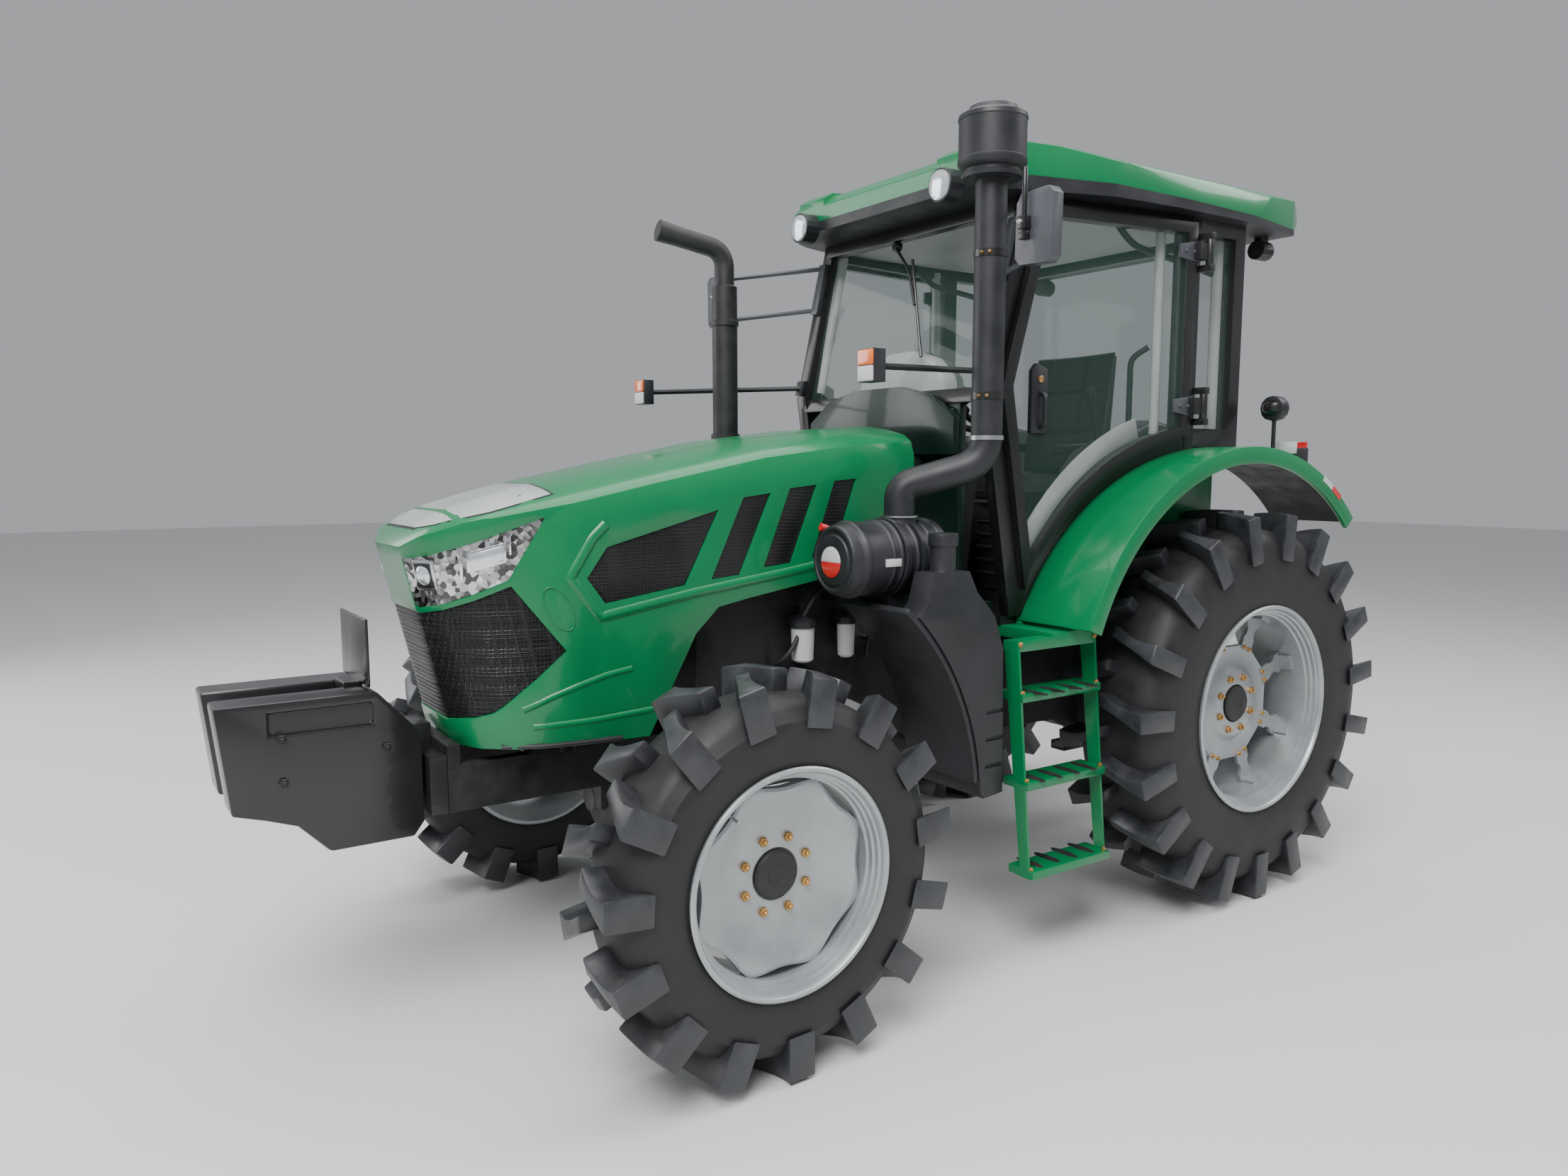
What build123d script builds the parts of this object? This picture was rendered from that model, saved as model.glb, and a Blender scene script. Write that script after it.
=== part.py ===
"""Farm tractor: four-wheel drive, two-door cab, high-lug paddy tyres, three-point hitch.

+X is the tractor's left, -Y is forward and +Z is up. The origin is on the ground, under the
middle of the tractor. All lengths are in millimetres. Every part of the tractor is placed from
its axles, its cab and its ground line, and pieces that seat on each other stand seat_gap apart.
"""
import os
from math import atan2, cos, radians, sin, sqrt

from build123d import *

os.makedirs("parts", exist_ok=True)

# Layout
wheelbase = 2200
front_reach = 1250   # front axle to the noses of the weights
rear_reach = 930     # rear axle to the ends of the lower links
front_axle_y = front_reach - (wheelbase + front_reach + rear_reach) / 2
rear_axle_y = front_axle_y + wheelbase
seat_gap = 0.3       # clearance between two pieces that seat on each other
running_gap = 6      # clearance around pieces that move
bore_gap = 0.05      # clearance of a pin in its bore

# Wheels: tyre and rim sizes of each axle
front_tyre_radius, front_tyre_width, front_wheel_x = 560, 288, 890
front_rim_radius, front_rim_width, front_disc_recess = 304.8, 280, 104
front_lug_height, front_lug_count = 62, 15
rear_tyre_radius, rear_tyre_width, rear_wheel_x = 745, 378, 790
rear_rim_radius, rear_rim_width, rear_disc_recess = 381, 356, 155
rear_lug_height, rear_lug_count = 64, 19
rim_flange = 25
bead_inset = 13      # rim's outer face to the seat of its tyre
bead_round = 6       # how far the bead's foot is drawn in from its flange
rim_wall, disc_wall = 12, 14
dish = 24            # how far the disc's centre is set in
dish_sides = 16
hub_radius, hub_back, hub_nose = 76, 30, 14
disc_lobes = 8
front_spindle, rear_spindle = 38, 45

# Front axle and steering
kingpin_x, kingpin_radius = 735, 24
beam_end_radius, beam_end_height = 46, 80
axle_tube_radius = 62
differential_radius, differential_length = 125, 170
pivot_radius, pivot_length = 45, 45
knuckle_radius, knuckle_arm = 118, 30
steer_ball_x, steer_ball_back, steer_ball_radius = kingpin_x - 70, 185, 26
tie_rod_radius = 16

# Chassis
frame_half_width, frame_rail = 215, 40
frame_bottom_z, frame_top_z = 660, 800
frame_front_y = front_axle_y - 660
engine_half_width = 255
engine_front_y, engine_back_y = front_axle_y + 140, front_axle_y + 780
radiator_y = front_axle_y - 420
gearbox_half_width = 200
gearbox_back_y, casing_back_y = rear_axle_y - 240, rear_axle_y + 260
casing_half_width, casing_top_z = 250, 1000
trumpet_radius, trumpet_flange = 105, 30

# Front weights
weight_front_y, weight_back_y = front_axle_y - front_reach, front_axle_y - 720
weight_inner_x, weight_thickness = 66, 118

# Hood: its top line at the middle, the drop of its crown, and its plan at one height
hood_rear_y = front_axle_y + 940
hood_nose_y = front_axle_y - 760
hood_half_width, hood_wall = 385, 22
hood_top_rear_z, hood_bottom_z = 1805, 842
hood_plan_z, hood_rake = 1400, 0.23
hood_top_line = ((-800, 1375), (-757, 1425), (-715, 1482), (-625, 1535), (-430, 1592), (-60, 1669),
                 (340, 1747), (700, 1790), (940, hood_top_rear_z), (1060, hood_top_rear_z + 6))
hood_crown = ((130, 4), (240, 18), (330, 38), (368, 62), (hood_half_width, 110))
hood_plan = ((hood_half_width, 1060), (hood_half_width, 60), (374, -200), (360, -400), (338, -520),
             (300, -620), (235, -695), (130, -742))
hood_hinge_x = 200
hood_hinge_y, hood_hinge_z = hood_rear_y - 15, hood_top_rear_z - 62
hood_pin_radius, hood_arm = 8, 13

# Cab
cab_front_half_width, cab_rear_half_width = 600, 722
cab_knee_y, cab_knee_z = front_axle_y + 1150, 1930
cab_floor_z, cab_floor_wall, cab_top_z = 1130, 30, 2575
cab_back_y = front_axle_y + 2350
pillar_b_y = front_axle_y + 2040
door_wall, glass_wall = 30, 6
door_front_low_y, door_front_top_y = front_axle_y + 1262, front_axle_y + 1306
door_back_y, door_top_z = pillar_b_y - 30, cab_top_z - 30
door_gap = 55        # fender's top to the door's lower edge
door_rail = 40       # width of the door's frame around its glass
frame_depth = 52
header_height = 50
quarter_outer_x = 686
window_low_z, window_top_drop = 1800, 56
hinge_x, hinge_y = cab_rear_half_width + 24, pillar_b_y + 5
hinge_heights = (1880, 2440)
hinge_radius, barrel_length, knuckle_length = 14, 90, 24
cowl_front_y, cowl_wall = front_axle_y + 1120, 30
roof_low = cab_top_z + seat_gap
roof_front_y = front_axle_y + 1072

# Front mudguards, tank, battery box and steps
guard_radius, guard_wall = 865, 20
side_inner_x, side_outer_x = 450, 800
step_front_y, step_back_y = front_axle_y + 1040, front_axle_y + 1420
step_heights = (315, 610, 900)

# Rear fenders
fender_centre_y, fender_centre_z = rear_axle_y - 30, 770
fender_radius, fender_wall = 960, 26
fender_inner_x, fender_outer_x = 560, 902
fender_front_angle, fender_back_angle = 159, 45

# Air cleaner, intake and exhaust
cleaner_x, cleaner_z, cleaner_radius = 572, 1366, 125
cleaner_front_y, cleaner_back_y = front_axle_y + 450, front_axle_y + 850
cleaner_outlet_y = front_axle_y + 720
stack_x, stack_y, stack_radius = 722, front_axle_y + 955, 51
bowl_radius, bowl_low_z, bowl_top_z = 109, 2550, 2740
exhaust_x, exhaust_y = -480, front_axle_y + 700
exhaust_radius, muffler_radius = 38, 50

# Mirrors and lamps
mirror_x, mirror_y, mirror_z = 930, front_axle_y + 950, 2368
turn_lamp_x, turn_lamp_y, turn_lamp_z = 733, front_axle_y + 474, 1952
work_lamp_x, work_lamp_z, work_lamp_radius = 415, 2602, 58
rear_lamp_x, rear_lamp_radius = 585, 38
stalk_x, stalk_y, stalk_lamp_z = 800, front_axle_y + 2420, 1880

# Rear hitch
link_pivot_y, link_pivot_z = rear_axle_y + 225, 620
arm_pivot_y, arm_pivot_z = rear_axle_y + 225, 1050
link_arm = 350       # arm length, and the lift rod's place along the lower link
link_droop = radians(12)
link_eye = 42
link_length = (rear_reach - link_pivot_y + rear_axle_y - link_eye) / cos(link_droop)
link_inner_x, link_end_x, rod_x = 222, 412, 300
link_pin, arm_shaft, rod_pin = 16, 26, 14
drawbar_reach, drawbar_pin = 520, 16


# ---------------------------------------------------------------- shared ways of making shapes
def side_plate(points, x_range, mode=Mode.ADD):
    """Extrude a side outline of (y, z) points from one x to another in the open part."""
    with BuildSketch(Plane.YZ.offset(x_range[0])) as outline:
        with BuildLine():
            Polyline(*points, close=True)
        make_face()
    extrude(outline.sketch, amount=x_range[1] - x_range[0], mode=mode)


def front_plate(points, y_range, mode=Mode.ADD):
    """Extrude a front outline of (x, z) points from one y to another in the open part."""
    with BuildSketch(Plane.XZ.offset(-y_range[0])) as outline:
        with BuildLine():
            Polyline(*points, close=True)
        make_face()
    extrude(outline.sketch, amount=y_range[0] - y_range[1], mode=mode)


def plan_plate(points, z_range, mode=Mode.ADD):
    """Extrude a plan outline of (x, y) points from one z to another in the open part."""
    with BuildSketch(Plane.XY.offset(z_range[0])) as outline:
        with BuildLine():
            Polyline(*points, close=True)
        make_face()
    extrude(outline.sketch, amount=z_range[1] - z_range[0], mode=mode)


def block(x_range, y_range, z_range, mode=Mode.ADD):
    """Add a box given by its limits."""
    (x0, x1), (y0, y1), (z0, z1) = x_range, y_range, z_range
    with Locations(((x0 + x1) / 2, (y0 + y1) / 2, (z0 + z1) / 2)):
        Box(abs(x1 - x0), abs(y1 - y0), abs(z1 - z0), mode=mode)


def rod(start, end, radius, mode=Mode.ADD):
    """Add a round bar between two points."""
    axis = Vector(*end) - Vector(*start)
    with BuildSketch(Plane(origin=start, z_dir=axis.normalized())) as section:
        Circle(radius)
    extrude(section.sketch, amount=axis.length, mode=mode)


def prism(start, end, radius, sides, mode=Mode.ADD):
    """Add a flat-sided bar between two points, for a round form that needs few faces."""
    axis = Vector(*end) - Vector(*start)
    with BuildSketch(Plane(origin=start, z_dir=axis.normalized())) as section:
        RegularPolygon(radius, sides)
    extrude(section.sketch, amount=axis.length, mode=mode)


def pipe(points, radius, bend, sides):
    """Add a flat-sided pipe along straight runs, each bend made of three mitred pieces."""
    with BuildLine() as smooth:
        FilletPolyline(*points, radius=bend)
    wire = smooth.wire()
    knots, along = [wire @ 0], 0
    for edge in wire.order_edges():
        pieces = 3 if edge.geom_type == GeomType.CIRCLE else 1
        knots += [wire.position_at((along + edge.length * step / pieces) / wire.length)
                  for step in range(1, pieces + 1)]
        along += edge.length
    with BuildLine() as path:
        Polyline(*knots)
    with BuildSketch(Plane(origin=knots[0], z_dir=path.line % 0)) as section:
        RegularPolygon(radius, sides)
    sweep(section.sketch, path=path.line, transition=Transition.RIGHT)


def both_sides(points):
    """A symmetrical outline from the points of its left half, listed from one end."""
    return [*points, *[(-x, along) for x, along in reversed(points)]]


def finish(builder, label):
    """Label a finished piece and write it."""
    builder.part.label = label
    export_step(builder.part, f"parts/{label}.step")


# ---------------------------------------------------------------- wheels
def make_tyre(label, centre, radius, width, rim_radius, rim_width, lug_height, lugs):
    """A tyre whose lugs lean from its middle to its shoulders, the two rows half a pitch apart.

    The casing has one flat for each lug, and the lowest lug stands flat on the ground.
    """
    half, bead_half = width / 2, rim_width / 2 - bead_inset - bead_round
    tread_radius = radius - lug_height
    belly_radius = rim_radius + 0.62 * (tread_radius - rim_radius)
    flats = 2 * lugs
    first_flat = -90 - 180 / flats
    # lug outline: across the tyre as a share of its half width, along the tread in mm
    lug_outline = ((-0.04, 66), (1.0, 3), (1.0, -47), (-0.04, 14))
    root = belly_radius - 5
    with BuildPart() as tyre:
        with BuildSketch(Plane.YZ.offset(centre[0] - half)):
            with Locations((centre[1], centre[2])):
                RegularPolygon(tread_radius, flats, major_radius=False, rotation=first_flat)
                RegularPolygon(rim_radius + seat_gap, flats, major_radius=False,
                               rotation=first_flat, mode=Mode.SUBTRACT)
        extrude(amount=width)
        for end in (0, -1):
            wall = tyre.faces().sort_by(Axis.X)[end]
            chamfer(wall.outer_wire().edges(), tread_radius - belly_radius, 0.26 * half,
                    reference=wall)
            wall = tyre.faces().sort_by(Axis.X)[end]
            chamfer(wall.inner_wires()[0].edges(), belly_radius - rim_radius - 8,
                    half - bead_half, reference=wall)
        for side, shift in ((1, 0), (-1, 180 / lugs)):
            for step in range(lugs):
                angle = radians(-90 + shift + step * 360 / lugs)
                outward = Vector(0, cos(angle), sin(angle))
                lug_plane = Plane(origin=Vector(*centre) + outward * root, x_dir=(1, 0, 0),
                                  z_dir=outward)
                with BuildSketch(lug_plane):
                    with BuildLine():
                        Polyline(*[(side * x * half, t) for x, t in lug_outline], close=True)
                    make_face()
        extrude(amount=radius + 12 - root)
        with BuildSketch(Plane.YZ.offset(centre[0] - width)):
            with Locations((centre[1], centre[2])):
                RegularPolygon(radius, flats, major_radius=False, rotation=first_flat)
        extrude(amount=2 * width, mode=Mode.INTERSECT)
    finish(tyre, label)


def make_rim(label, side, centre, rim_radius, rim_width, disc_recess, spindle, lugs, slots):
    """A flanged rim, flat-sided like its tyre's seat, with a lobed and dished disc and a hub.

    The slots between the disc's lobes are given as shares of the rim's inner radius: their
    place, depth and length, and the radius of the dish's flat centre and of its outer edge.
    """
    half = rim_width / 2
    seat_half = half - bead_inset
    inner = rim_radius - rim_wall
    face = half - disc_recess
    back = face - disc_wall
    flats = 2 * lugs

    def place(x):
        """The point on the wheel's axis, x outwards from the middle of the rim."""
        return (centre[0] + side * x, centre[1], centre[2])

    def ring(x0, x1, radius, sides, mode=Mode.ADD):
        """A flat-sided prism about the wheel's axis."""
        with BuildSketch(Plane.YZ.offset(place(x0)[0])) as section:
            with Locations((centre[1], centre[2])):
                RegularPolygon(radius, sides, rotation=-90 - 180 / sides)
        extrude(section.sketch, amount=side * (x1 - x0), mode=mode)

    with BuildPart() as rim:
        ring(-half, half, rim_radius + rim_flange, 3 * disc_lobes)
        with BuildSketch(Plane.YZ.offset(centre[0] - seat_half)):
            with Locations((centre[1], centre[2])):
                RegularPolygon(2 * rim_radius, 4)
                RegularPolygon(rim_radius, flats, major_radius=False, rotation=-90 - 180 / flats,
                               mode=Mode.SUBTRACT)
        extrude(amount=2 * seat_half, mode=Mode.SUBTRACT)
        ring(face + dish, half, inner, 3 * disc_lobes, mode=Mode.SUBTRACT)
        ring(-half, back, inner, 2 * disc_lobes, mode=Mode.SUBTRACT)
        ring(face, face + dish, slots["dish_centre"] * inner, dish_sides, mode=Mode.SUBTRACT)
        disc_face = rim.faces().filter_by(Axis.X).filter_by(
            lambda f: abs(f.center().X - place(face + dish)[0]) < 0.1)[0]
        chamfer(disc_face.inner_wires()[0].edges(),
                (slots["dish_edge"] - slots["dish_centre"]) * inner, dish - 2, reference=disc_face)
        disc_plane = Plane(origin=place(face + dish), x_dir=(0, 1, 0), z_dir=(side, 0, 0))
        with BuildSketch(disc_plane):
            with PolarLocations(slots["place"] * inner, disc_lobes, start_angle=180 / disc_lobes):
                Rectangle(slots["depth"] * inner, slots["length"] * inner)
        extrude(amount=-(dish + 2 * disc_wall), mode=Mode.SUBTRACT)
        ring(back - hub_back, face + hub_nose, hub_radius, dish_sides)
        rod(place(back - hub_back - 1), place(face + hub_nose - 4), spindle + bore_gap,
            mode=Mode.SUBTRACT)
    finish(rim, label)


# each axle's tyre sizes, then the shares of its disc's slots and dish
front_wheel = dict(radius=front_tyre_radius, width=front_tyre_width, rim_radius=front_rim_radius,
                   rim_width=front_rim_width, lug_height=front_lug_height, lugs=front_lug_count)
rear_wheel = dict(radius=rear_tyre_radius, width=rear_tyre_width, rim_radius=rear_rim_radius,
                  rim_width=rear_rim_width, lug_height=rear_lug_height, lugs=rear_lug_count)
front_slots = dict(place=0.93, depth=0.08, length=0.40, dish_centre=0.45, dish_edge=0.84)
rear_slots = dict(place=0.80, depth=0.24, length=0.42, dish_centre=0.36, dish_edge=0.60)
for side_name, side in (("left", 1), ("right", -1)):
    front_centre = (side * front_wheel_x, front_axle_y, front_tyre_radius)
    rear_centre = (side * rear_wheel_x, rear_axle_y, rear_tyre_radius)
    make_tyre(f"tyre_front_{side_name}", front_centre, **front_wheel)
    make_tyre(f"tyre_rear_{side_name}", rear_centre, **rear_wheel)
    make_rim(f"rim_front_{side_name}", side, front_centre, front_rim_radius, front_rim_width,
             front_disc_recess, front_spindle, front_lug_count, front_slots)
    make_rim(f"rim_rear_{side_name}", side, rear_centre, rear_rim_radius, rear_rim_width,
             rear_disc_recess, rear_spindle, rear_lug_count, rear_slots)

# ---------------------------------------------------------------- front axle and steering
front_axle_z = front_tyre_radius
front_disc_back = front_wheel_x + front_rim_width / 2 - front_disc_recess - disc_wall
knuckle_face_x = front_disc_back - hub_back - running_gap
front_spindle_end = front_disc_back + disc_wall + hub_nose - 6
arm_low_z = front_axle_z - beam_end_height - running_gap - knuckle_arm
arm_high_z = 2 * front_axle_z - arm_low_z
pivot_half = differential_length / 2

with BuildPart() as front_axle:
    prism((-kingpin_x, front_axle_y, front_axle_z), (kingpin_x, front_axle_y, front_axle_z),
          axle_tube_radius, 12)
    prism((0, front_axle_y - pivot_half, front_axle_z), (0, front_axle_y + pivot_half, front_axle_z),
          differential_radius, 16)
    for side in (-1, 1):
        block(sorted((side * (kingpin_x + 10), side * (kingpin_x + 80))),
              (front_axle_y - 100, front_axle_y + 100),
              (front_axle_z - 100, front_axle_z + 100), mode=Mode.SUBTRACT)
        prism((side * kingpin_x, front_axle_y, front_axle_z - beam_end_height),
              (side * kingpin_x, front_axle_y, front_axle_z + beam_end_height), beam_end_radius, 12)
        rod((side * kingpin_x, front_axle_y, arm_low_z), (side * kingpin_x, front_axle_y, arm_high_z),
            kingpin_radius)
    # pivot stubs that the frame's hangers carry
    rod((0, front_axle_y - pivot_half - pivot_length, front_axle_z),
        (0, front_axle_y + pivot_half + pivot_length, front_axle_z), pivot_radius)
finish(front_axle, "front_axle")

for side_name, side in (("left", 1), ("right", -1)):
    pin_x = side * kingpin_x
    with BuildPart() as knuckle:
        prism((pin_x + side * 54, front_axle_y, front_axle_z),
              (side * knuckle_face_x, front_axle_y, front_axle_z), knuckle_radius, 16)
        rod((side * knuckle_face_x, front_axle_y, front_axle_z),
            (side * front_spindle_end, front_axle_y, front_axle_z), front_spindle)
        for level in (arm_low_z, arm_high_z - knuckle_arm):
            with BuildSketch(Plane.XY.offset(level)):
                with Locations((pin_x, front_axle_y)):
                    RegularPolygon(beam_end_radius, 12)
                with Locations((pin_x + side * 45, front_axle_y)):
                    Rectangle(90, 2 * beam_end_radius)
                if level == arm_low_z:
                    with BuildLine():
                        Polyline((pin_x - side * 10, front_axle_y + 20),
                                 (side * steer_ball_x - side * 24, front_axle_y + steer_ball_back),
                                 (side * steer_ball_x + side * 24, front_axle_y + steer_ball_back),
                                 (pin_x + side * 40, front_axle_y + 20), close=True)
                    make_face()
                    with Locations((side * steer_ball_x, front_axle_y + steer_ball_back)):
                        RegularPolygon(steer_ball_radius, 8)
            extrude(amount=knuckle_arm)
        rod((pin_x, front_axle_y, arm_low_z - 1), (pin_x, front_axle_y, arm_high_z + 1),
            kingpin_radius + bore_gap, mode=Mode.SUBTRACT)
    finish(knuckle, f"knuckle_{side_name}")

tie_rod_y, tie_eye_z = front_axle_y + steer_ball_back, arm_low_z + knuckle_arm + seat_gap
with BuildPart() as steering_rod:
    for side in (-1, 1):
        prism((side * steer_ball_x, tie_rod_y, tie_eye_z),
              (side * steer_ball_x, tie_rod_y, tie_eye_z + 40), steer_ball_radius - 2, 8)
    prism((-steer_ball_x, tie_rod_y, tie_eye_z + 20), (steer_ball_x, tie_rod_y, tie_eye_z + 20),
          tie_rod_radius, 8)
finish(steering_rod, "steering_rod")

# ---------------------------------------------------------------- frame, engine, drive line
hanger_y = pivot_half + seat_gap
with BuildPart() as front_frame:
    for x in (-frame_half_width, frame_half_width - frame_rail):
        block((x, x + frame_rail), (frame_front_y, engine_front_y), (frame_bottom_z, frame_top_z))
    block((-frame_half_width, frame_half_width), (frame_front_y, frame_front_y + frame_rail),
          (frame_bottom_z, frame_top_z + 60))
    # pivot hangers before and behind the axle's differential
    for y0, y1 in ((front_axle_y - hanger_y - pivot_length, front_axle_y - hanger_y),
                   (front_axle_y + hanger_y, front_axle_y + hanger_y + pivot_length)):
        side_plate(((y0, front_axle_z - 20), (y1, front_axle_z - 20), (y1, frame_top_z - 40),
                    (y0, frame_top_z - 40)), (-95, 95))
        block((-frame_half_width, frame_half_width), (y0, y1), (frame_bottom_z, frame_bottom_z + 60))
    rod((0, front_axle_y - hanger_y - 60, front_axle_z), (0, front_axle_y + hanger_y + 60, front_axle_z),
        pivot_radius + seat_gap, mode=Mode.SUBTRACT)
finish(front_frame, "front_frame")

with BuildPart() as engine:
    side_plate(((engine_front_y + seat_gap, 810), (engine_front_y + seat_gap, 1230),
                (engine_front_y + 60, 1290), (engine_back_y - 40, 1290), (engine_back_y, 1200),
                (engine_back_y, 640), (engine_back_y - 60, 570), (engine_front_y + 200, 570),
                (engine_front_y + 160, 680), (engine_front_y + seat_gap, 700)),
               (-engine_half_width, engine_half_width))
    chamfer(engine.edges().filter_by(Axis.Y).group_by(Axis.Z)[-1], 40)
finish(engine, "engine")

with BuildPart() as radiator:
    block((-250, 250), (radiator_y, radiator_y + 90), (frame_top_z + seat_gap, 1385))
    block((-270, 270), (radiator_y + 90, radiator_y + 130), (frame_top_z + seat_gap, 1410))
finish(radiator, "radiator")

with BuildPart() as transmission:
    side_plate(((engine_back_y + seat_gap, 620), (engine_back_y + seat_gap, 1040),
                (engine_back_y + 300, 960), (gearbox_back_y, 960), (gearbox_back_y + 60, casing_top_z),
                (casing_back_y, casing_top_z), (casing_back_y, 620), (casing_back_y - 60, 560),
                (gearbox_back_y, 560), (gearbox_back_y - 80, 600)),
               (-gearbox_half_width, gearbox_half_width))
    block((-casing_half_width, casing_half_width), (rear_axle_y - 180, rear_axle_y + 180),
          (rear_tyre_radius - 180, casing_top_z - 40))
    # cross members under the cab, and the arms that carry the tank and the battery box
    for y, low in ((front_axle_y + 1220, 955), (rear_axle_y - 60, 995)):
        block((-290, 290), (y, y + 70), (low, cab_floor_z - cab_floor_wall - seat_gap))
    block((-side_inner_x + seat_gap, side_inner_x - seat_gap),
          (front_axle_y + 895, front_axle_y + 965), (640, 690))
finish(transmission, "transmission")

rear_disc_back = rear_wheel_x + rear_rim_width / 2 - rear_disc_recess - disc_wall
trumpet_end = rear_disc_back - hub_back - running_gap
with BuildPart() as rear_axle:
    for side in (-1, 1):
        prism((side * (casing_half_width + seat_gap), rear_axle_y, rear_tyre_radius),
              (side * (trumpet_end - trumpet_flange), rear_axle_y, rear_tyre_radius),
              trumpet_radius, 16)
        prism((side * (trumpet_end - trumpet_flange), rear_axle_y, rear_tyre_radius),
              (side * trumpet_end, rear_axle_y, rear_tyre_radius), trumpet_radius + 30, 16)
        rod((side * trumpet_end, rear_axle_y, rear_tyre_radius),
            (side * (rear_disc_back + disc_wall + hub_nose - 6), rear_axle_y, rear_tyre_radius),
            rear_spindle)
finish(rear_axle, "rear_axle")

# ---------------------------------------------------------------- front weights and their carrier
with BuildPart() as weight_bracket:
    block((-weight_inner_x + seat_gap, weight_inner_x - seat_gap),
          (weight_back_y - 180, frame_front_y - seat_gap), (700, 900))
    block((-frame_half_width, frame_half_width), (weight_back_y + 10, frame_front_y - seat_gap),
          (frame_bottom_z, hood_bottom_z - 12))
    # blank plate on its stalk
    block((-150, 150), (weight_back_y - 135, weight_back_y - 127), (1040, 1235))
    block((-60, 60), (weight_back_y - 180, weight_back_y - 127), (880, 1045))
finish(weight_bracket, "weight_bracket")

weight_outline = ((weight_front_y, 1034), (weight_front_y + 30, 740), (weight_front_y + 110, 715),
                  (weight_front_y + 190, 685), (weight_front_y + 270, 600),
                  (weight_back_y - 30, 600), (weight_back_y, 640), (weight_back_y, 900),
                  (weight_back_y - 120, 1034))
with BuildPart() as front_weights:
    for side in (-1, 1):
        outer = side * (weight_inner_x + weight_thickness)
        side_plate(weight_outline, (side * weight_inner_x, outer))
        # grip recess in the outer face
        block(sorted((outer - side * 14, outer)), (weight_front_y + 130, weight_front_y + 400),
              (945, 1005), mode=Mode.SUBTRACT)
finish(front_weights, "front_weights")


# ---------------------------------------------------------------- hood
def hood_volume(inset):
    """The closed hood drawn in by an inset: a crowned top, a raked plan and a low edge."""
    share = (hood_half_width - inset) / hood_half_width
    low, back = (0, 0) if inset == 0 else (200, 100)
    knots = [Vector(0, front_axle_y + y + inset, z - inset) for y, z in hood_top_line]
    with BuildPart() as raked:
        with BuildSketch(Plane.XY.offset(hood_plan_z)) as plan:
            with BuildLine():
                Polyline(*both_sides([(x - inset, front_axle_y + y + inset) for x, y in hood_plan]),
                         close=True)
            make_face()
            with BuildLine():
                Polyline(*both_sides([(hood_half_width - inset, hood_rear_y + back + 100),
                                      (hood_half_width - inset, front_axle_y + 400)]), close=True)
            make_face()
        for amount in (600, -900):
            extrude(plan.sketch, amount=amount, dir=(0, -hood_rake, 1))
    with BuildPart() as volume:
        for start, end in zip(knots, knots[1:]):
            with BuildSketch(Plane.XZ.offset(-start.Y)) as section:
                with BuildLine():
                    Polyline(*both_sides([(hood_half_width - inset, 500),
                                          *[(x * share, start.Z - drop)
                                            for x, drop in reversed(hood_crown)]]), close=True)
                make_face()
            extrude(section.sketch, amount=(end - start).length, dir=end - start)
        add(raked.part, mode=Mode.INTERSECT)
        side_plate([(front_axle_y + y, z - low) for y, z in (
            (-1000, 2000 + low), (-1000, hood_bottom_z), (-90, hood_bottom_z), (70, 1145), (150, 1222),
            (260, 1242), (540, 1286))] + [(hood_rear_y + back, 1340 - low), (hood_rear_y + back, 2000)],
            (-hood_half_width, hood_half_width), mode=Mode.INTERSECT)
    return volume.part


def grown(points, margin):
    """A side-view outline pushed outwards by a margin."""
    with BuildSketch(Plane.XY) as sketch:
        with BuildLine():
            Polyline(*points, close=True)
        make_face()
        offset(amount=margin, kind=Kind.INTERSECTION)
    wire = sketch.face().outer_wire()
    return [((edge @ 0).X, (edge @ 0).Y) for edge in wire.order_edges()]


# side-view outlines, y from the front axle
def from_axle(points):
    return [(front_axle_y + y, z) for y, z in points]


grille_outline = from_axle(((-860, 915), (-650, 912), (-540, 950), (-346, 1125), (-500, 1322),
                            (-700, 1240), (-730, 1262), (-860, 1262)))
lamp_inner_x = 125
lamp_outline = from_axle(((-860, 1278), (-728, 1276), (-700, 1256), (-507, 1338), (-402, 1516),
                          (-735, 1398), (-860, 1392)))
vent_outlines = [from_axle(points) for points in (
    ((-282, 1334), (-227, 1257), (34, 1297), (153, 1525), (-220, 1423)),
    ((124, 1309), (228, 1318), (346, 1573), (243, 1561)),
    ((317, 1337), (423, 1346), (526, 1598), (419, 1587)),
    ((506, 1360), (600, 1370), (688, 1617), (597, 1609)))]

hood_outer = hood_volume(0)
hood_middle = hood_volume(5)
hood_inner = hood_volume(hood_wall)
with BuildPart() as hood_shell:
    add(hood_outer)
    add(hood_inner, mode=Mode.SUBTRACT)
    for outline in (grille_outline, *vent_outlines):
        side_plate(outline, (-600, 600), mode=Mode.SUBTRACT)
    for side in (-1, 1):
        side_plate(lamp_outline, (side * lamp_inner_x, side * 600), mode=Mode.SUBTRACT)
        # hinge ears under the top's rear edge, with their pins
        block(sorted((side * (hood_hinge_x + 21), side * (hood_hinge_x + 37))),
              (hood_hinge_y - 14, hood_hinge_y + 14), (hood_hinge_z - 14, hood_hinge_z + 36))
        rod((side * hood_hinge_x, hood_hinge_y, hood_hinge_z),
            (side * (hood_hinge_x + 22), hood_hinge_y, hood_hinge_z), hood_pin_radius)
finish(hood_shell, "hood_shell")

with BuildPart() as hood_grille:
    add(hood_middle)
    add(hood_inner, mode=Mode.SUBTRACT)
    side_plate(grown(grille_outline, -seat_gap), (-600, 600), mode=Mode.INTERSECT)
finish(hood_grille, "hood_grille")

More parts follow.
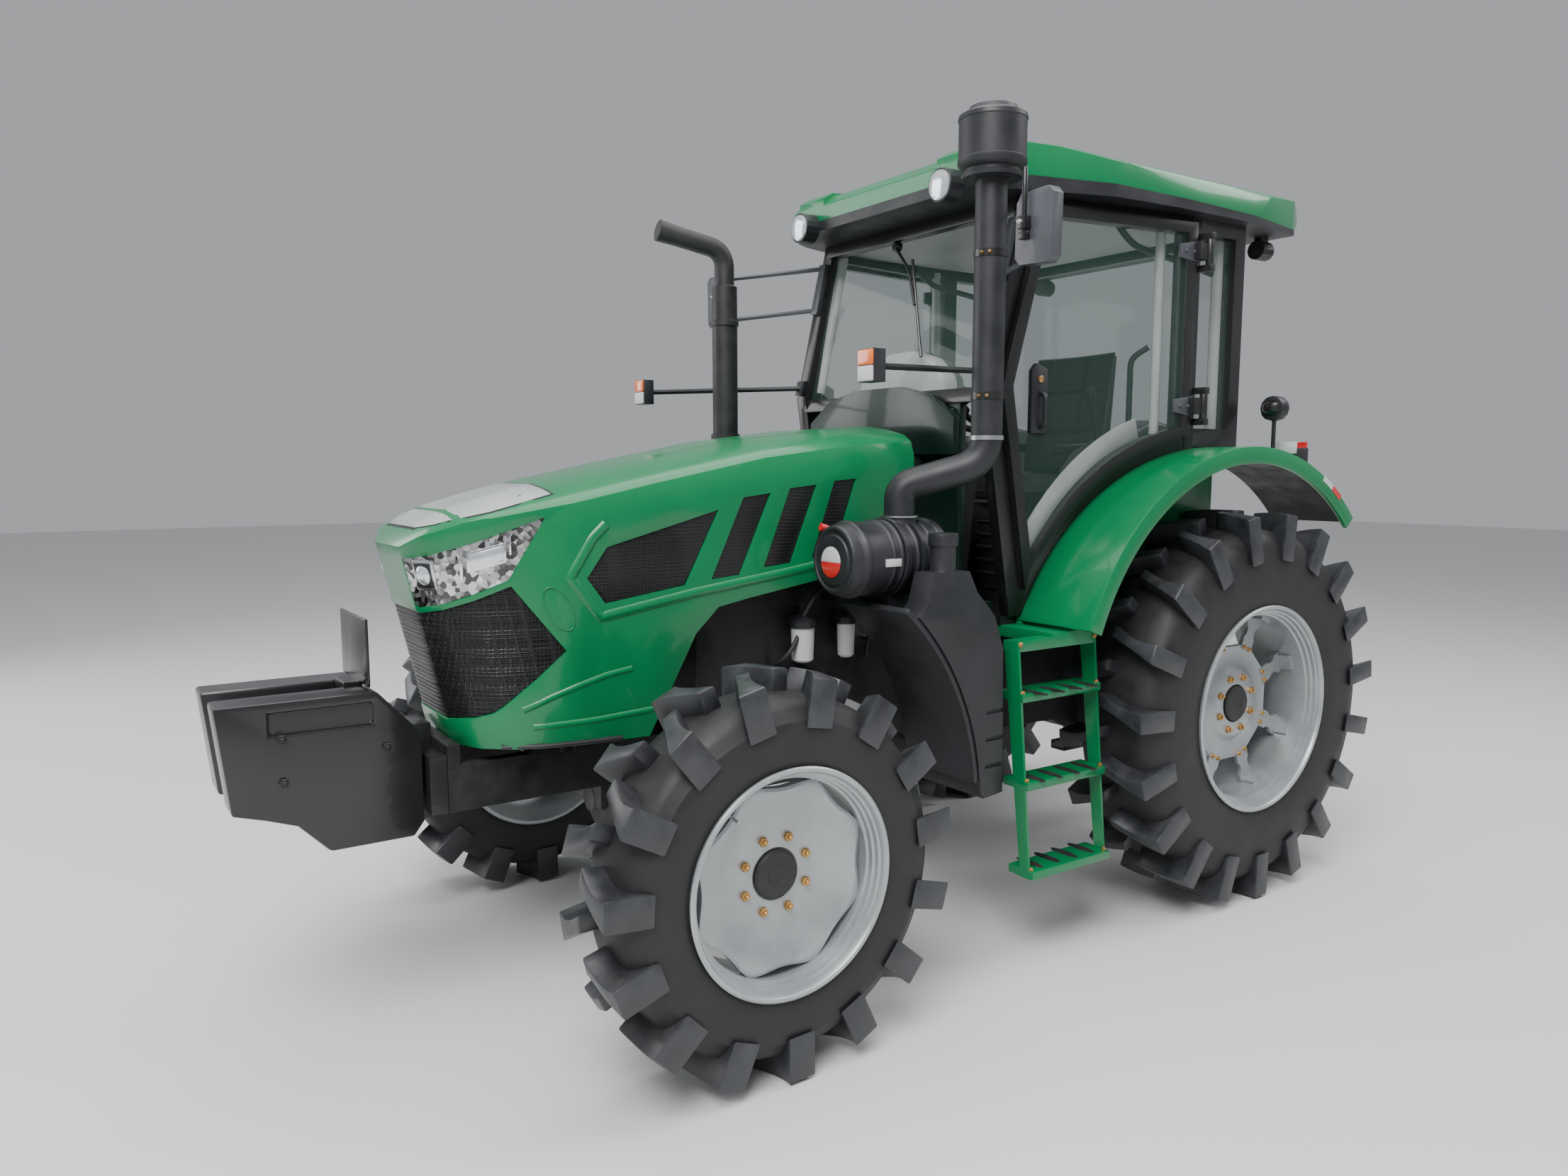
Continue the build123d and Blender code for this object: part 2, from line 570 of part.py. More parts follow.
with BuildPart() as hood_vents:
    for outline in vent_outlines:
        side_plate(grown(outline, -seat_gap), (-600, 600))
    add(hood_middle, mode=Mode.INTERSECT)
    add(hood_inner, mode=Mode.SUBTRACT)
finish(hood_vents, "hood_vents")

with BuildPart() as headlamps:
    for side in (-1, 1):
        side_plate(grown(lamp_outline, -seat_gap), (side * (lamp_inner_x + seat_gap), side * 600))
    add(hood_volume(2), mode=Mode.INTERSECT)
    add(hood_inner, mode=Mode.SUBTRACT)
finish(headlamps, "headlamps")

# ---------------------------------------------------------------- cab
cab_taper = atan2(cab_rear_half_width - cab_front_half_width, pillar_b_y - cab_knee_y)
frame_depth_from = -door_wall - running_gap


def wall_plane(side, depth):
    """The side wall's upright plane; depth counts outwards from the doors' outer faces."""
    return Plane(origin=(side * cab_front_half_width, cab_knee_y, 0),
                 x_dir=(side * sin(cab_taper), cos(cab_taper), 0),
                 z_dir=(cos(cab_taper), -side * sin(cab_taper), 0)).offset(side * depth)


def door_face(side, depth, inset):
    """The door's outline: a knee in front, and a lower edge that follows the fender."""
    def along(y):
        return (y - cab_knee_y) / cos(cab_taper)

    def above_fender(y):
        return fender_centre_z + sqrt((fender_radius + door_gap) ** 2 - (y - fender_centre_y) ** 2)

    middle_y = (door_front_low_y + door_back_y) / 2 - 60
    with BuildSketch(wall_plane(side, depth)) as outline:
        with BuildLine():
            ThreePointArc((along(door_back_y), above_fender(door_back_y)),
                          (along(middle_y), above_fender(middle_y)),
                          (along(door_front_low_y), above_fender(door_front_low_y)))
            Polyline((along(door_front_low_y), above_fender(door_front_low_y)),
                     (0, cab_knee_z), (along(door_front_top_y), door_top_z),
                     (along(door_back_y), door_top_z),
                     (along(door_back_y), above_fender(door_back_y)))
        make_face()
        if inset:
            offset(amount=-inset, kind=Kind.INTERSECTION)
    return outline.sketch


window_high_z = cab_top_z - window_top_drop
quarter_window = ((pillar_b_y + 28, window_low_z), (cab_back_y - 62, window_low_z),
                  (cab_back_y - 62, window_high_z), (pillar_b_y + 28, window_high_z))
rear_window = both_sides([(610, window_high_z), (610, 1800), (515, 1745), (515, 1400)])
fender_top_z = fender_centre_z + fender_radius
with BuildPart() as cab_frame:
    for side in (-1, 1):
        extrude(door_face(side, frame_depth_from, -door_gap + seat_gap), amount=-side * frame_depth)
        extrude(door_face(side, frame_depth_from + 1, 30), amount=-side * (frame_depth + 2),
                mode=Mode.SUBTRACT)
    for low, high in ((cab_top_z, cab_top_z + 200), (800, cab_floor_z + seat_gap)):
        block((-900, 900), (cab_knee_y - 300, cab_back_y), (low, high), mode=Mode.SUBTRACT)
    rod((-900, fender_centre_y, fender_centre_z), (900, fender_centre_y, fender_centre_z),
        fender_radius + seat_gap, mode=Mode.SUBTRACT)
    for side in (-1, 1):
        side_plate(((pillar_b_y - 20, fender_top_z + seat_gap), (cab_back_y, fender_top_z + seat_gap),
                    (cab_back_y, cab_top_z), (pillar_b_y - 20, cab_top_z)),
                   (side * (quarter_outer_x - frame_depth), side * quarter_outer_x))
        side_plate(quarter_window, (side * (quarter_outer_x - frame_depth - 1),
                                    side * (quarter_outer_x + 1)), mode=Mode.SUBTRACT)
    # rear wall with its window, and the headers above and below the windshield
    front_plate(both_sides([(quarter_outer_x, cab_top_z), (quarter_outer_x, fender_top_z + 1),
                            (fender_inner_x - seat_gap, fender_top_z + 1),
                            (fender_inner_x - seat_gap, cab_floor_z)]), (cab_back_y - 45, cab_back_y))
    front_plate(rear_window, (cab_back_y - 60, cab_back_y + 10), mode=Mode.SUBTRACT)
    for y, z in ((front_axle_y + 1240, cab_top_z - header_height),
                 (front_axle_y + 1112, cab_knee_z - header_height)):
        side_plate(((y, z), (y + 50, z), (y + 62, z + header_height), (y + 12, z + header_height)),
                   (-540, 540))
    # pillar knuckles above and below each door hinge's barrel
    for side in (-1, 1):
        for z in hinge_heights:
            for low in (z - barrel_length / 2 - seat_gap - knuckle_length,
                        z + barrel_length / 2 + seat_gap):
                block(sorted((side * 670, side * (hinge_x + hinge_radius))),
                      (hinge_y - 12, hinge_y + hinge_radius), (low, low + knuckle_length))
finish(cab_frame, "cab_frame")

with BuildPart() as cab_floor:
    block((-fender_inner_x + seat_gap, fender_inner_x - seat_gap),
          (front_axle_y + 1200, cab_back_y - 45 - seat_gap),
          (cab_floor_z - cab_floor_wall, cab_floor_z))
    block((-480, 480), (cab_back_y - 420, cab_back_y - 46 - seat_gap), (cab_floor_z, 1330))
finish(cab_floor, "cab_floor")

with BuildPart() as cowl:
    block((-420, 420), (cowl_front_y, cowl_front_y + cowl_wall),
          (1040, cab_knee_z - header_height - seat_gap))
    block((-520, 520), (cowl_front_y, front_axle_y + 1200 - seat_gap), (1040, 1180))
    # arched panel that stands before the foot of the windshield
    front_plate(both_sides([(430, 1700), (430, 1830), (300, 1912), (140, 1948)]),
                (cowl_front_y - 40, cowl_front_y - 12))
    block((-400, 400), (cowl_front_y - 13, cowl_front_y), (1700, 1860))
    # arms that carry the hood's hinge pins
    arm_reach = cowl_front_y - hood_hinge_y + 10
    for side in (-1, 1):
        side_plate([(hood_hinge_y + y, hood_hinge_z + z) for y, z in (
            (arm_reach, -110), (arm_reach, -60), (20, -hood_arm), (hood_arm, hood_arm),
            (-hood_arm, hood_arm), (-18, -30))],
            (side * hood_hinge_x, side * (hood_hinge_x + 20)))
    rod((-300, hood_hinge_y, hood_hinge_z), (300, hood_hinge_y, hood_hinge_z),
        hood_pin_radius + bore_gap, mode=Mode.SUBTRACT)
finish(cowl, "cowl")

with BuildPart() as windshield:
    low, high = cab_knee_z + seat_gap, cab_top_z - header_height - seat_gap
    y_low, y_high = front_axle_y + 1140, front_axle_y + 1268
    side_plate(((y_low, low), (y_low + glass_wall, low), (y_high + glass_wall, high), (y_high, high)),
               (-505, 505))
finish(windshield, "windshield")

with BuildPart() as rear_windows:
    front_plate(grown(rear_window, -seat_gap), (cab_back_y - 26, cab_back_y - 20))
    for side in (-1, 1):
        side_plate(grown(quarter_window, -seat_gap),
                   (side * (quarter_outer_x - 30), side * (quarter_outer_x - 24)))
finish(rear_windows, "rear_windows")

with BuildPart() as cab_roof:
    # crowned across, thin at its edges
    front_plate([(x, roof_low + z) for x, z in both_sides(
        [(744, 0), (752, 78), (728, 118), (655, 150), (380, 185), (120, 198)])],
        (front_axle_y + 900, front_axle_y + 2900))
    side_plate([(front_axle_y + y, roof_low + z) for y, z in (
        (1120, 0), (1072, 12), (1072, 108), (1130, 150), (1400, 188), (1750, 203), (2100, 203),
        (2450, 184), (2700, 128), (2812, 90), (2790, 68), (2660, 0))], (-800, 800), mode=Mode.INTERSECT)
    plan_plate(both_sides([(535, front_axle_y + 1072), (606, front_axle_y + 1180),
                           (725, front_axle_y + 1540), (752, front_axle_y + 2000),
                           (748, front_axle_y + 2300), (700, front_axle_y + 2640),
                           (610, front_axle_y + 2812)]), (roof_low - 50, roof_low + 300),
               mode=Mode.INTERSECT)
    # raised pods over the front work lamps
    for side in (-1, 1):
        side_plate([(front_axle_y + y, roof_low + z) for y, z in (
            (1072, 20), (1072, 136), (1110, 160), (1290, 176), (1290, 20))],
            (side * (work_lamp_x - 85), side * (work_lamp_x + 85)))
finish(cab_roof, "cab_roof")

for side_name, side in (("left", 1), ("right", -1)):
    with BuildPart() as door:
        extrude(door_face(side, 0, 0), amount=-side * door_wall)
        extrude(door_face(side, 1, door_rail), amount=-side * (door_wall + 2), mode=Mode.SUBTRACT)
        # hinge barrels on the rear edge
        for z in hinge_heights:
            block(sorted((side * (cab_rear_half_width - 8), side * hinge_x)),
                  (door_back_y - 20, hinge_y), (z - 30, z + 30))
            rod((side * hinge_x, hinge_y, z - barrel_length / 2),
                (side * hinge_x, hinge_y, z + barrel_length / 2), hinge_radius)
    finish(door, f"door_{side_name}")
    with BuildPart() as door_glass:
        extrude(door_face(side, -12, door_rail + seat_gap), amount=-side * glass_wall)
    finish(door_glass, f"door_glass_{side_name}")

with BuildPart() as seat:
    side_plate(((front_axle_y + 1690, 1500), (front_axle_y + 1690, 1620), (front_axle_y + 2060, 1600),
                (front_axle_y + 2140, 2150), (front_axle_y + 2230, 2150), (front_axle_y + 2170, 1500)),
               (-235, 235))
    block((-160, 160), (front_axle_y + 1780, front_axle_y + 1925), (cab_floor_z + seat_gap, 1510))
finish(seat, "seat")

with BuildPart() as console:
    console_front_y = cowl_front_y + cowl_wall + seat_gap
    side_plate(((console_front_y, cab_floor_z + 60), (front_axle_y + 1380, cab_floor_z + 60),
                (front_axle_y + 1440, 1660), (front_axle_y + 1180, 1810), (console_front_y, 1850)),
               (-190, 190))
    block((-190, 190), (front_axle_y + 1200, front_axle_y + 1380),
          (cab_floor_z + seat_gap, cab_floor_z + 60))
    # domed instrument binnacle
    front_plate(both_sides([(190, 1745), (250, 1880), (245, 1980), (170, 2052), (70, 2088)]),
                (front_axle_y + 1196, front_axle_y + 1300))
finish(console, "console")

column_plane = Plane(origin=(0, front_axle_y + 1500, 1880), x_dir=(1, 0, 0), z_dir=(0, 0.5, 0.866))
with BuildPart() as steering_wheel:
    with BuildSketch(column_plane):
        RegularPolygon(195, 20)
        RegularPolygon(168, 20, mode=Mode.SUBTRACT)
        for angle in (90, 210, 330):
            with Locations(Location((90 * cos(radians(angle)), 90 * sin(radians(angle))), angle)):
                Rectangle(180, 34)
        RegularPolygon(45, 10)
    extrude(amount=24)
    with BuildSketch(column_plane):
        RegularPolygon(26, 8)
    extrude(amount=-220)
finish(steering_wheel, "steering_wheel")


# ---------------------------------------------------------------- rear fenders
def fender_band(x_range, inner_radius, outer_radius):
    """An arched strip about the fender's centre."""
    with BuildSketch(Plane.YZ.offset(x_range[0])) as band:
        with Locations((fender_centre_y, fender_centre_z)):
            Circle(outer_radius)
            Circle(inner_radius, mode=Mode.SUBTRACT)
        with BuildLine():
            Polyline((fender_centre_y, fender_centre_z),
                     *[(fender_centre_y + 3 * fender_radius * cos(radians(angle)),
                        fender_centre_z + 3 * fender_radius * sin(radians(angle)))
                       for angle in (fender_back_angle, 100, fender_front_angle)], close=True)
        make_face(mode=Mode.INTERSECT)
    extrude(band.sketch, amount=x_range[1] - x_range[0])


for side_name, side in (("left", 1), ("right", -1)):
    with BuildPart() as fender:
        fender_band((side * fender_inner_x, side * fender_outer_x), fender_radius - fender_wall,
                    fender_radius)
        fender_band((side * (fender_outer_x - 18), side * fender_outer_x), fender_radius - 62,
                    fender_radius)
        with BuildSketch(Plane.YZ.offset(side * fender_inner_x)) as inner_wall:
            with Locations((fender_centre_y, fender_centre_z)):
                Circle(fender_radius - 5)
            with Locations((fender_centre_y - 360, cab_floor_z - 30 + 400)):
                Rectangle(1080, 800, mode=Mode.INTERSECT)
        extrude(amount=side * fender_wall)
    finish(fender, f"fender_{side_name}")

# ---------------------------------------------------------------- tank, box, mudguards and steps
side_front_radius = guard_radius + guard_wall + seat_gap


def about_front_axle(radius, angle):
    """The (y, z) place at an angle up from straight behind the front axle."""
    return (front_axle_y + radius * cos(radians(angle)), front_axle_z + radius * sin(radians(angle)))


def behind_guard(x_range, top_points):
    """A body whose front face follows the mudguard and whose back and top are straight runs."""
    with BuildSketch(Plane.YZ.offset(x_range[0])) as outline:
        with BuildLine():
            ThreePointArc(about_front_axle(side_front_radius, 3), about_front_axle(side_front_radius, 25),
                          about_front_axle(side_front_radius, 46))
            Polyline(about_front_axle(side_front_radius, 46), *from_axle(top_points),
                     about_front_axle(side_front_radius, 3))
        make_face()
    extrude(outline.sketch, amount=x_range[1] - x_range[0])


with BuildPart() as fuel_tank:
    behind_guard((side_inner_x, side_outer_x),
                 ((650, 1240), (672, 1330), (826, 1330), (860, 1260), (935, 1180), (975, 1070),
                  (985, 590), (900, 580)))
    front_plate(((side_inner_x, 500), (side_outer_x, 500), (side_outer_x, 1200),
                 (side_outer_x - 10, 1400), (708, 1400), (700, 1190), (side_inner_x, 1180)),
                (front_axle_y + 400, front_axle_y + 1100), mode=Mode.INTERSECT)
    # filler neck and cap
    for radius, low, high in ((42, 1300, 1410), (48, 1410, 1450)):
        prism((752, front_axle_y + 749, low), (752, front_axle_y + 749, high), radius, 12)
    for z in (680, 770, 860):
        block((side_outer_x - 8, side_outer_x + 5), (front_axle_y + 905, front_axle_y + 1000),
              (z, z + 14), mode=Mode.SUBTRACT)
finish(fuel_tank, "fuel_tank")

with BuildPart() as battery_box:
    behind_guard((-side_inner_x, -side_outer_x),
                 ((650, 1190), (920, 1190), (975, 1120), (985, 590), (900, 580)))
finish(battery_box, "battery_box")

with BuildPart() as mudguards:
    for side in (-1, 1):
        with BuildSketch(Plane.YZ.offset(side * (side_inner_x + 10))):
            with BuildLine():
                ThreePointArc(about_front_axle(guard_radius, 5), about_front_axle(guard_radius, 28),
                              about_front_axle(guard_radius, 49))
                Line(about_front_axle(guard_radius, 49),
                     about_front_axle(guard_radius + guard_wall, 49))
                ThreePointArc(about_front_axle(guard_radius + guard_wall, 49),
                              about_front_axle(guard_radius + guard_wall, 28),
                              about_front_axle(guard_radius + guard_wall, 5))
                Line(about_front_axle(guard_radius + guard_wall, 5),
                     about_front_axle(guard_radius, 5))
            make_face()
        extrude(amount=side * (side_outer_x - side_inner_x - 15))
finish(mudguards, "mudguards")

with BuildPart() as steps:
    for side in (-1, 1):
        for y in (step_front_y, step_back_y - 10):
            front_plate([(side * x, z) for x, z in (
                (735, 1085), (800, 1085), (875, 300), (835, 300))], (y, y + 10))
        for z in step_heights:
            middle = 855 - (z - 300) * 0.11
            block(sorted((side * (middle - 70), side * (middle + 40))), (step_front_y, step_back_y),
                  (z - 14, z + 14))
        block(sorted((side * 300, side * 800)), (step_front_y + 165, step_back_y),
              (1060, cab_floor_z - cab_floor_wall - seat_gap))
        block(sorted((side * 735, side * 800)), (step_front_y, step_back_y), (1050, 1085))
finish(steps, "steps")

# ---------------------------------------------------------------- air cleaner, intake and exhaust
outlet_z = cleaner_z + 134
with BuildPart() as air_cleaner:
    for radius, y0, y1 in ((cleaner_radius, cleaner_front_y + 22, cleaner_back_y),
                           (cleaner_radius - 12, cleaner_front_y, cleaner_front_y + 22)):
        prism((cleaner_x, y0, cleaner_z), (cleaner_x, y1, cleaner_z), radius, 20)
    prism((cleaner_x, cleaner_outlet_y, cleaner_z), (cleaner_x, cleaner_outlet_y, outlet_z),
          stack_radius + 6, 12)
    block((engine_half_width + seat_gap, cleaner_x + 45), (front_axle_y + 640, front_axle_y + 740),
          (1200, 1252))
finish(air_cleaner, "air_cleaner")

with BuildPart() as intake_stack:
    pipe([(cleaner_x, cleaner_outlet_y, outlet_z + seat_gap), (cleaner_x, cleaner_outlet_y, 1590),
          (stack_x, stack_y, 1670), (stack_x, stack_y, bowl_low_z + 10)], stack_radius, 70, 12)
    for radius, low, high in ((bowl_radius - 14, bowl_low_z, bowl_low_z + 24),
                              (bowl_radius, bowl_low_z + 24, bowl_top_z), (80, bowl_top_z, 2765)):
        prism((stack_x, stack_y, low), (stack_x, stack_y, high), radius, 20)
finish(intake_stack, "intake_stack")

with BuildPart() as exhaust:
    pipe([(-engine_half_width - seat_gap, exhaust_y, 1240), (exhaust_x, exhaust_y, 1240),
          (exhaust_x, exhaust_y, 1520)], exhaust_radius, 80, 8)
    for radius, low, high in ((muffler_radius, 1500, 2360), (muffler_radius + 8, 1745, 1785)):
        prism((exhaust_x, exhaust_y, low), (exhaust_x, exhaust_y, high), radius, 12)
    pipe([(exhaust_x, exhaust_y, 2350), (exhaust_x, exhaust_y, 2490),
          (exhaust_x - 40, exhaust_y - 270, 2545)], exhaust_radius, 90, 8)
finish(exhaust, "exhaust")


# ---------------------------------------------------------------- mirrors and lamps
def pillar_front(z):
    """The front pillar's front edge, counted along the side wall from the knee."""
    rise = door_top_z - cab_knee_z
    run = (door_front_top_y - cab_knee_y) / cos(cab_taper)
    return (run * (z - cab_knee_z) - (door_gap - seat_gap) * sqrt(run ** 2 + rise ** 2)) / rise


def on_pillar(side, z):
    """The middle of a pad on the front pillar at a height."""
    along, depth = pillar_front(z) - 12, frame_depth_from - frame_depth / 2
    return (side * (cab_front_half_width + along * sin(cab_taper) + depth * cos(cab_taper)),
            cab_knee_y + along * cos(cab_taper) - depth * sin(cab_taper), z)


def pillar_pad(side, low, high):
    """A flat pad against the front edge of a front pillar."""
    with BuildSketch(wall_plane(side, frame_depth_from - 8)) as outline:
        with BuildLine():
            Polyline((pillar_front(low) - seat_gap, low), (pillar_front(high) - seat_gap, high),
                     (pillar_front(high) - 24, high), (pillar_front(low) - 24, low), close=True)
        make_face()
    extrude(outline.sketch, amount=-side * (frame_depth - 16))


with BuildPart() as mirrors:
    for side in (-1, 1):
        pillar_pad(side, 2290, 2500)
        for z in (mirror_z - 60, mirror_z + 115):
            prism(on_pillar(side, z), (side * (mirror_x - 10), mirror_y + 10, z - 20), 10, 6)
        # head with cut corners
        front_plate([(side * (mirror_x + x), mirror_z + z) for x, z in (
            (-72, 78), (-54, 106), (56, 110), (74, 90), (70, -92), (52, -108), (-56, -104),
            (-76, -84))], (mirror_y - 22, mirror_y + 22))
finish(mirrors, "mirrors")

with BuildPart() as turn_lamps:
    for side in (-1, 1):
        pillar_pad(side, 1950, 2010)
        prism(on_pillar(side, 1980), (side * turn_lamp_x, turn_lamp_y, turn_lamp_z), 11, 6)
        block(sorted((side * (turn_lamp_x - 36), side * (turn_lamp_x + 36))),
              (turn_lamp_y - 22, turn_lamp_y + 22), (turn_lamp_z - 48, turn_lamp_z + 48))
finish(turn_lamps, "turn_lamps")

with BuildPart() as work_lamps:
    for side in (-1, 1):
        prism((side * work_lamp_x, roof_front_y - 60, work_lamp_z),
              (side * work_lamp_x, roof_front_y - seat_gap, work_lamp_z), work_lamp_radius, 16)
        rear_lamp_z = roof_low - rear_lamp_radius - 10
        prism((side * rear_lamp_x, front_axle_y + 2570, rear_lamp_z),
              (side * rear_lamp_x, front_axle_y + 2640, rear_lamp_z), rear_lamp_radius, 12)
        block((side * rear_lamp_x - 15, side * rear_lamp_x + 15),
              (front_axle_y + 2580, front_axle_y + 2630), (rear_lamp_z, roof_low - seat_gap))
finish(work_lamps, "work_lamps")


def fender_top(y):
    """The height of the fender's top at a place along the tractor."""
    return fender_centre_z + sqrt(fender_radius ** 2 - (y - fender_centre_y) ** 2)


with BuildPart() as tail_lamps:
    for side in (-1, 1):
        y0, y1 = front_axle_y + 2500, front_axle_y + 2570
        side_plate(((y0, fender_top(y0) + 0.9), (y1, fender_top(y1) + 0.9), (y1, fender_top(y1) + 85),
                    (y0, fender_top(y1) + 85)), (side * 740, side * 860))
        prism((side * stalk_x, stalk_y, fender_top(stalk_y) + 2.8),
              (side * stalk_x, stalk_y, stalk_lamp_z - 30), 9, 6)
        prism((side * stalk_x, stalk_y - 25, stalk_lamp_z), (side * stalk_x, stalk_y + 25, stalk_lamp_z),
              48, 12)
finish(tail_lamps, "tail_lamps")


# ---------------------------------------------------------------- rear hitch, drawbar and shaft
def along_link(origin_y, origin_z, distance):
    """The (y, z) place at a distance along a link that droops from its pivot."""
    return (origin_y + distance * cos(link_droop), origin_z - distance * sin(link_droop))


arm_end = along_link(arm_pivot_y, arm_pivot_z, link_arm)
rod_foot = along_link(link_pivot_y, link_pivot_z, link_arm)
link_tip = along_link(link_pivot_y, link_pivot_z, link_length)
link_pivot, arm_pivot = (link_pivot_y, link_pivot_z), (arm_pivot_y, arm_pivot_z)

with BuildPart() as hitch_casting:
    block((-170, 170), (rear_axle_y + 150, casing_back_y),
          (casing_top_z + seat_gap, arm_pivot_z + 50))
    prism((-185, *arm_pivot), (185, *arm_pivot), arm_shaft + 23, 12)
    rod((-262, *arm_pivot), (262, *arm_pivot), arm_shaft)
    for x in (-48, 30):
        block((x, x + 18), (casing_back_y - 20, casing_back_y + 65), (casing_top_z + seat_gap, 1080))
    rod((-60, casing_back_y + 35, 1042), (60, casing_back_y + 35, 1042), 12.8, mode=Mode.SUBTRACT)
finish(hitch_casting, "hitch_casting")

with BuildPart() as link_pins:
    for side in (-1, 1):
        rod((side * (gearbox_half_width + seat_gap), *link_pivot),
            (side * (link_inner_x + 34), *link_pivot), link_pin)
finish(link_pins, "link_pins")

with BuildPart() as lift_arms:
    for side in (-1, 1):
        prism((side * 192, *arm_pivot), (side * 256, *arm_pivot), arm_shaft + 22, 12)
        side_plate(((arm_pivot_y, arm_pivot_z + 44), (arm_end[0], arm_end[1] + 26),
                    (arm_end[0], arm_end[1] - 26), (arm_pivot_y, arm_pivot_z - 44)),
                   (side * 205, side * 245))
        rod((side * 205, *arm_end), (side * (rod_x + 22), *arm_end), rod_pin)
    rod((-300, *arm_pivot), (300, *arm_pivot), arm_shaft + bore_gap, mode=Mode.SUBTRACT)
finish(lift_arms, "lift_arms")

with BuildPart() as lift_rods:
    for side in (-1, 1):
        prism((side * rod_x, *rod_foot), (side * rod_x, *arm_end), 15, 8)
        for eye in (arm_end, rod_foot):
            prism((side * (rod_x - 20), *eye), (side * (rod_x + 20), *eye), 2 * rod_pin, 8)
            rod((side * (rod_x - 30), *eye), (side * (rod_x + 30), *eye), rod_pin + bore_gap,
                mode=Mode.SUBTRACT)
finish(lift_rods, "lift_rods")

link_plane = Plane(origin=(0, *link_pivot), x_dir=(1, 0, 0), z_dir=(0, sin(link_droop), cos(link_droop)))
with BuildPart() as lower_links:
    for side in (-1, 1):
        prism((side * link_inner_x, *link_pivot), (side * (link_inner_x + 30), *link_pivot), 40, 12)
        with BuildSketch(link_plane.offset(-30)):
            with BuildLine():
                Polyline(*[(side * x, y) for x, y in (
                    (link_inner_x, 0), (link_inner_x + 30, 0), (rod_x - 30, link_arm - 40),
                    (rod_x - 30, link_arm + 40), (link_end_x - 4, link_length),
                    (link_end_x - 30, link_length), (rod_x - 56, link_arm + 40),
                    (rod_x - 56, link_arm - 40))], close=True)
            make_face()
        extrude(amount=60)
        prism((side * (link_end_x - 40), *link_tip), (side * (link_end_x + 5), *link_tip), link_eye, 12)
        rod((side * (rod_x - 45), *rod_foot), (side * (rod_x + 22), *rod_foot), rod_pin)
        rod((side * (link_end_x - 60), *link_tip), (side * (link_end_x + 30), *link_tip), 14.35,
            mode=Mode.SUBTRACT)
        rod((side * (link_inner_x - 10), *link_pivot), (side * (link_inner_x + 50), *link_pivot),
            link_pin + bore_gap, mode=Mode.SUBTRACT)
finish(lower_links, "lower_links")

with BuildPart() as drawbar:
    block((-40, 40), (rear_axle_y - 60, rear_axle_y + drawbar_reach + 40), (390, 430))
    block((-60, 60), (rear_axle_y + 40, rear_axle_y + 160), (430, 560 - seat_gap))
    rod((0, rear_axle_y + drawbar_reach, 380), (0, rear_axle_y + drawbar_reach, 440), drawbar_pin,
        mode=Mode.SUBTRACT)
finish(drawbar, "drawbar")

with BuildPart() as pto_shaft:
    prism((0, casing_back_y + seat_gap, 690), (0, casing_back_y + 24, 690), 48, 12)
    rod((0, casing_back_y + 24, 690), (0, casing_back_y + 100, 690), 17.5)
finish(pto_shaft, "pto_shaft")
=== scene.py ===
"""Dress of a farm tractor: materials, tyres, rims, lamps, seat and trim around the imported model.

+X is the tractor's left, -Y is forward, +Z is up, in metres. FA and RA are the places of the front
and rear axles along the tractor.
"""
from math import cos, pi, radians, sin, sqrt

import bmesh
import bpy
from mathutils import Matrix, Vector
from mathutils.bvhtree import BVHTree


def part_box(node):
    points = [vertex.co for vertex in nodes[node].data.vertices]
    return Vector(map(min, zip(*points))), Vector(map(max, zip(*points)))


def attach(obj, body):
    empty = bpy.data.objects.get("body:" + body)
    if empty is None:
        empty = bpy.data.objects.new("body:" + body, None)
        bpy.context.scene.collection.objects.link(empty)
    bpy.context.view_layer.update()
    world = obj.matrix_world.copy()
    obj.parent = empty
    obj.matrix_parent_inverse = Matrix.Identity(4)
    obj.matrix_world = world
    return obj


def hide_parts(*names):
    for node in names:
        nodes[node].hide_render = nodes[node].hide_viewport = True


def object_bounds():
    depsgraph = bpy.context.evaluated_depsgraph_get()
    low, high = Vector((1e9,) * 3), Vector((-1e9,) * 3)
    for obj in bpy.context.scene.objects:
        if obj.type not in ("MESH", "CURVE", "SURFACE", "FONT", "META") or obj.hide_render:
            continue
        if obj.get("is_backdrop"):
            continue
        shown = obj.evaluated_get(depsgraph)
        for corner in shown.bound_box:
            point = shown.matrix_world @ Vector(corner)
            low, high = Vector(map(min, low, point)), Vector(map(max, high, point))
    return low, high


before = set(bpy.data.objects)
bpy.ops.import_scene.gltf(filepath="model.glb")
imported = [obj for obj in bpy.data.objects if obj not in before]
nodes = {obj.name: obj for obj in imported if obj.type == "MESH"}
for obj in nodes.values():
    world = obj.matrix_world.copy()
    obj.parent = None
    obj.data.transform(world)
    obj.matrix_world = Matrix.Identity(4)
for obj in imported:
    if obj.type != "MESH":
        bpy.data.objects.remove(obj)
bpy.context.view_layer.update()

FA, RA = -0.94, 1.26
SIDES = (("left", 1), ("right", -1))
UP, DOWN, BACK, FORWARD = (0, 0, 1), (0, 0, -1), (0, 1, 0), (0, -1, 0)
CHASSIS = "chassis"


def mm(text):
    """Groups of numbers written in thousandths, such as "10 20, 30 40", as tuples.

    Lengths are so given in millimetres.
    """
    return [tuple(float(value) / 1000 for value in group.split()) for group in text.split(",")]


# ---------------- materials
def feed(tree, node, **inputs):
    """Link sockets to a node's inputs or set their values; underscores stand for spaces."""
    for name, value in inputs.items():
        socket = node.inputs[name.replace("_", " ")]
        if isinstance(value, bpy.types.NodeSocket):
            tree.links.new(value, socket)
        else:
            socket.default_value = value
    return node


def new_node(tree, kind, **inputs):
    return feed(tree, tree.nodes.new(kind), **inputs)


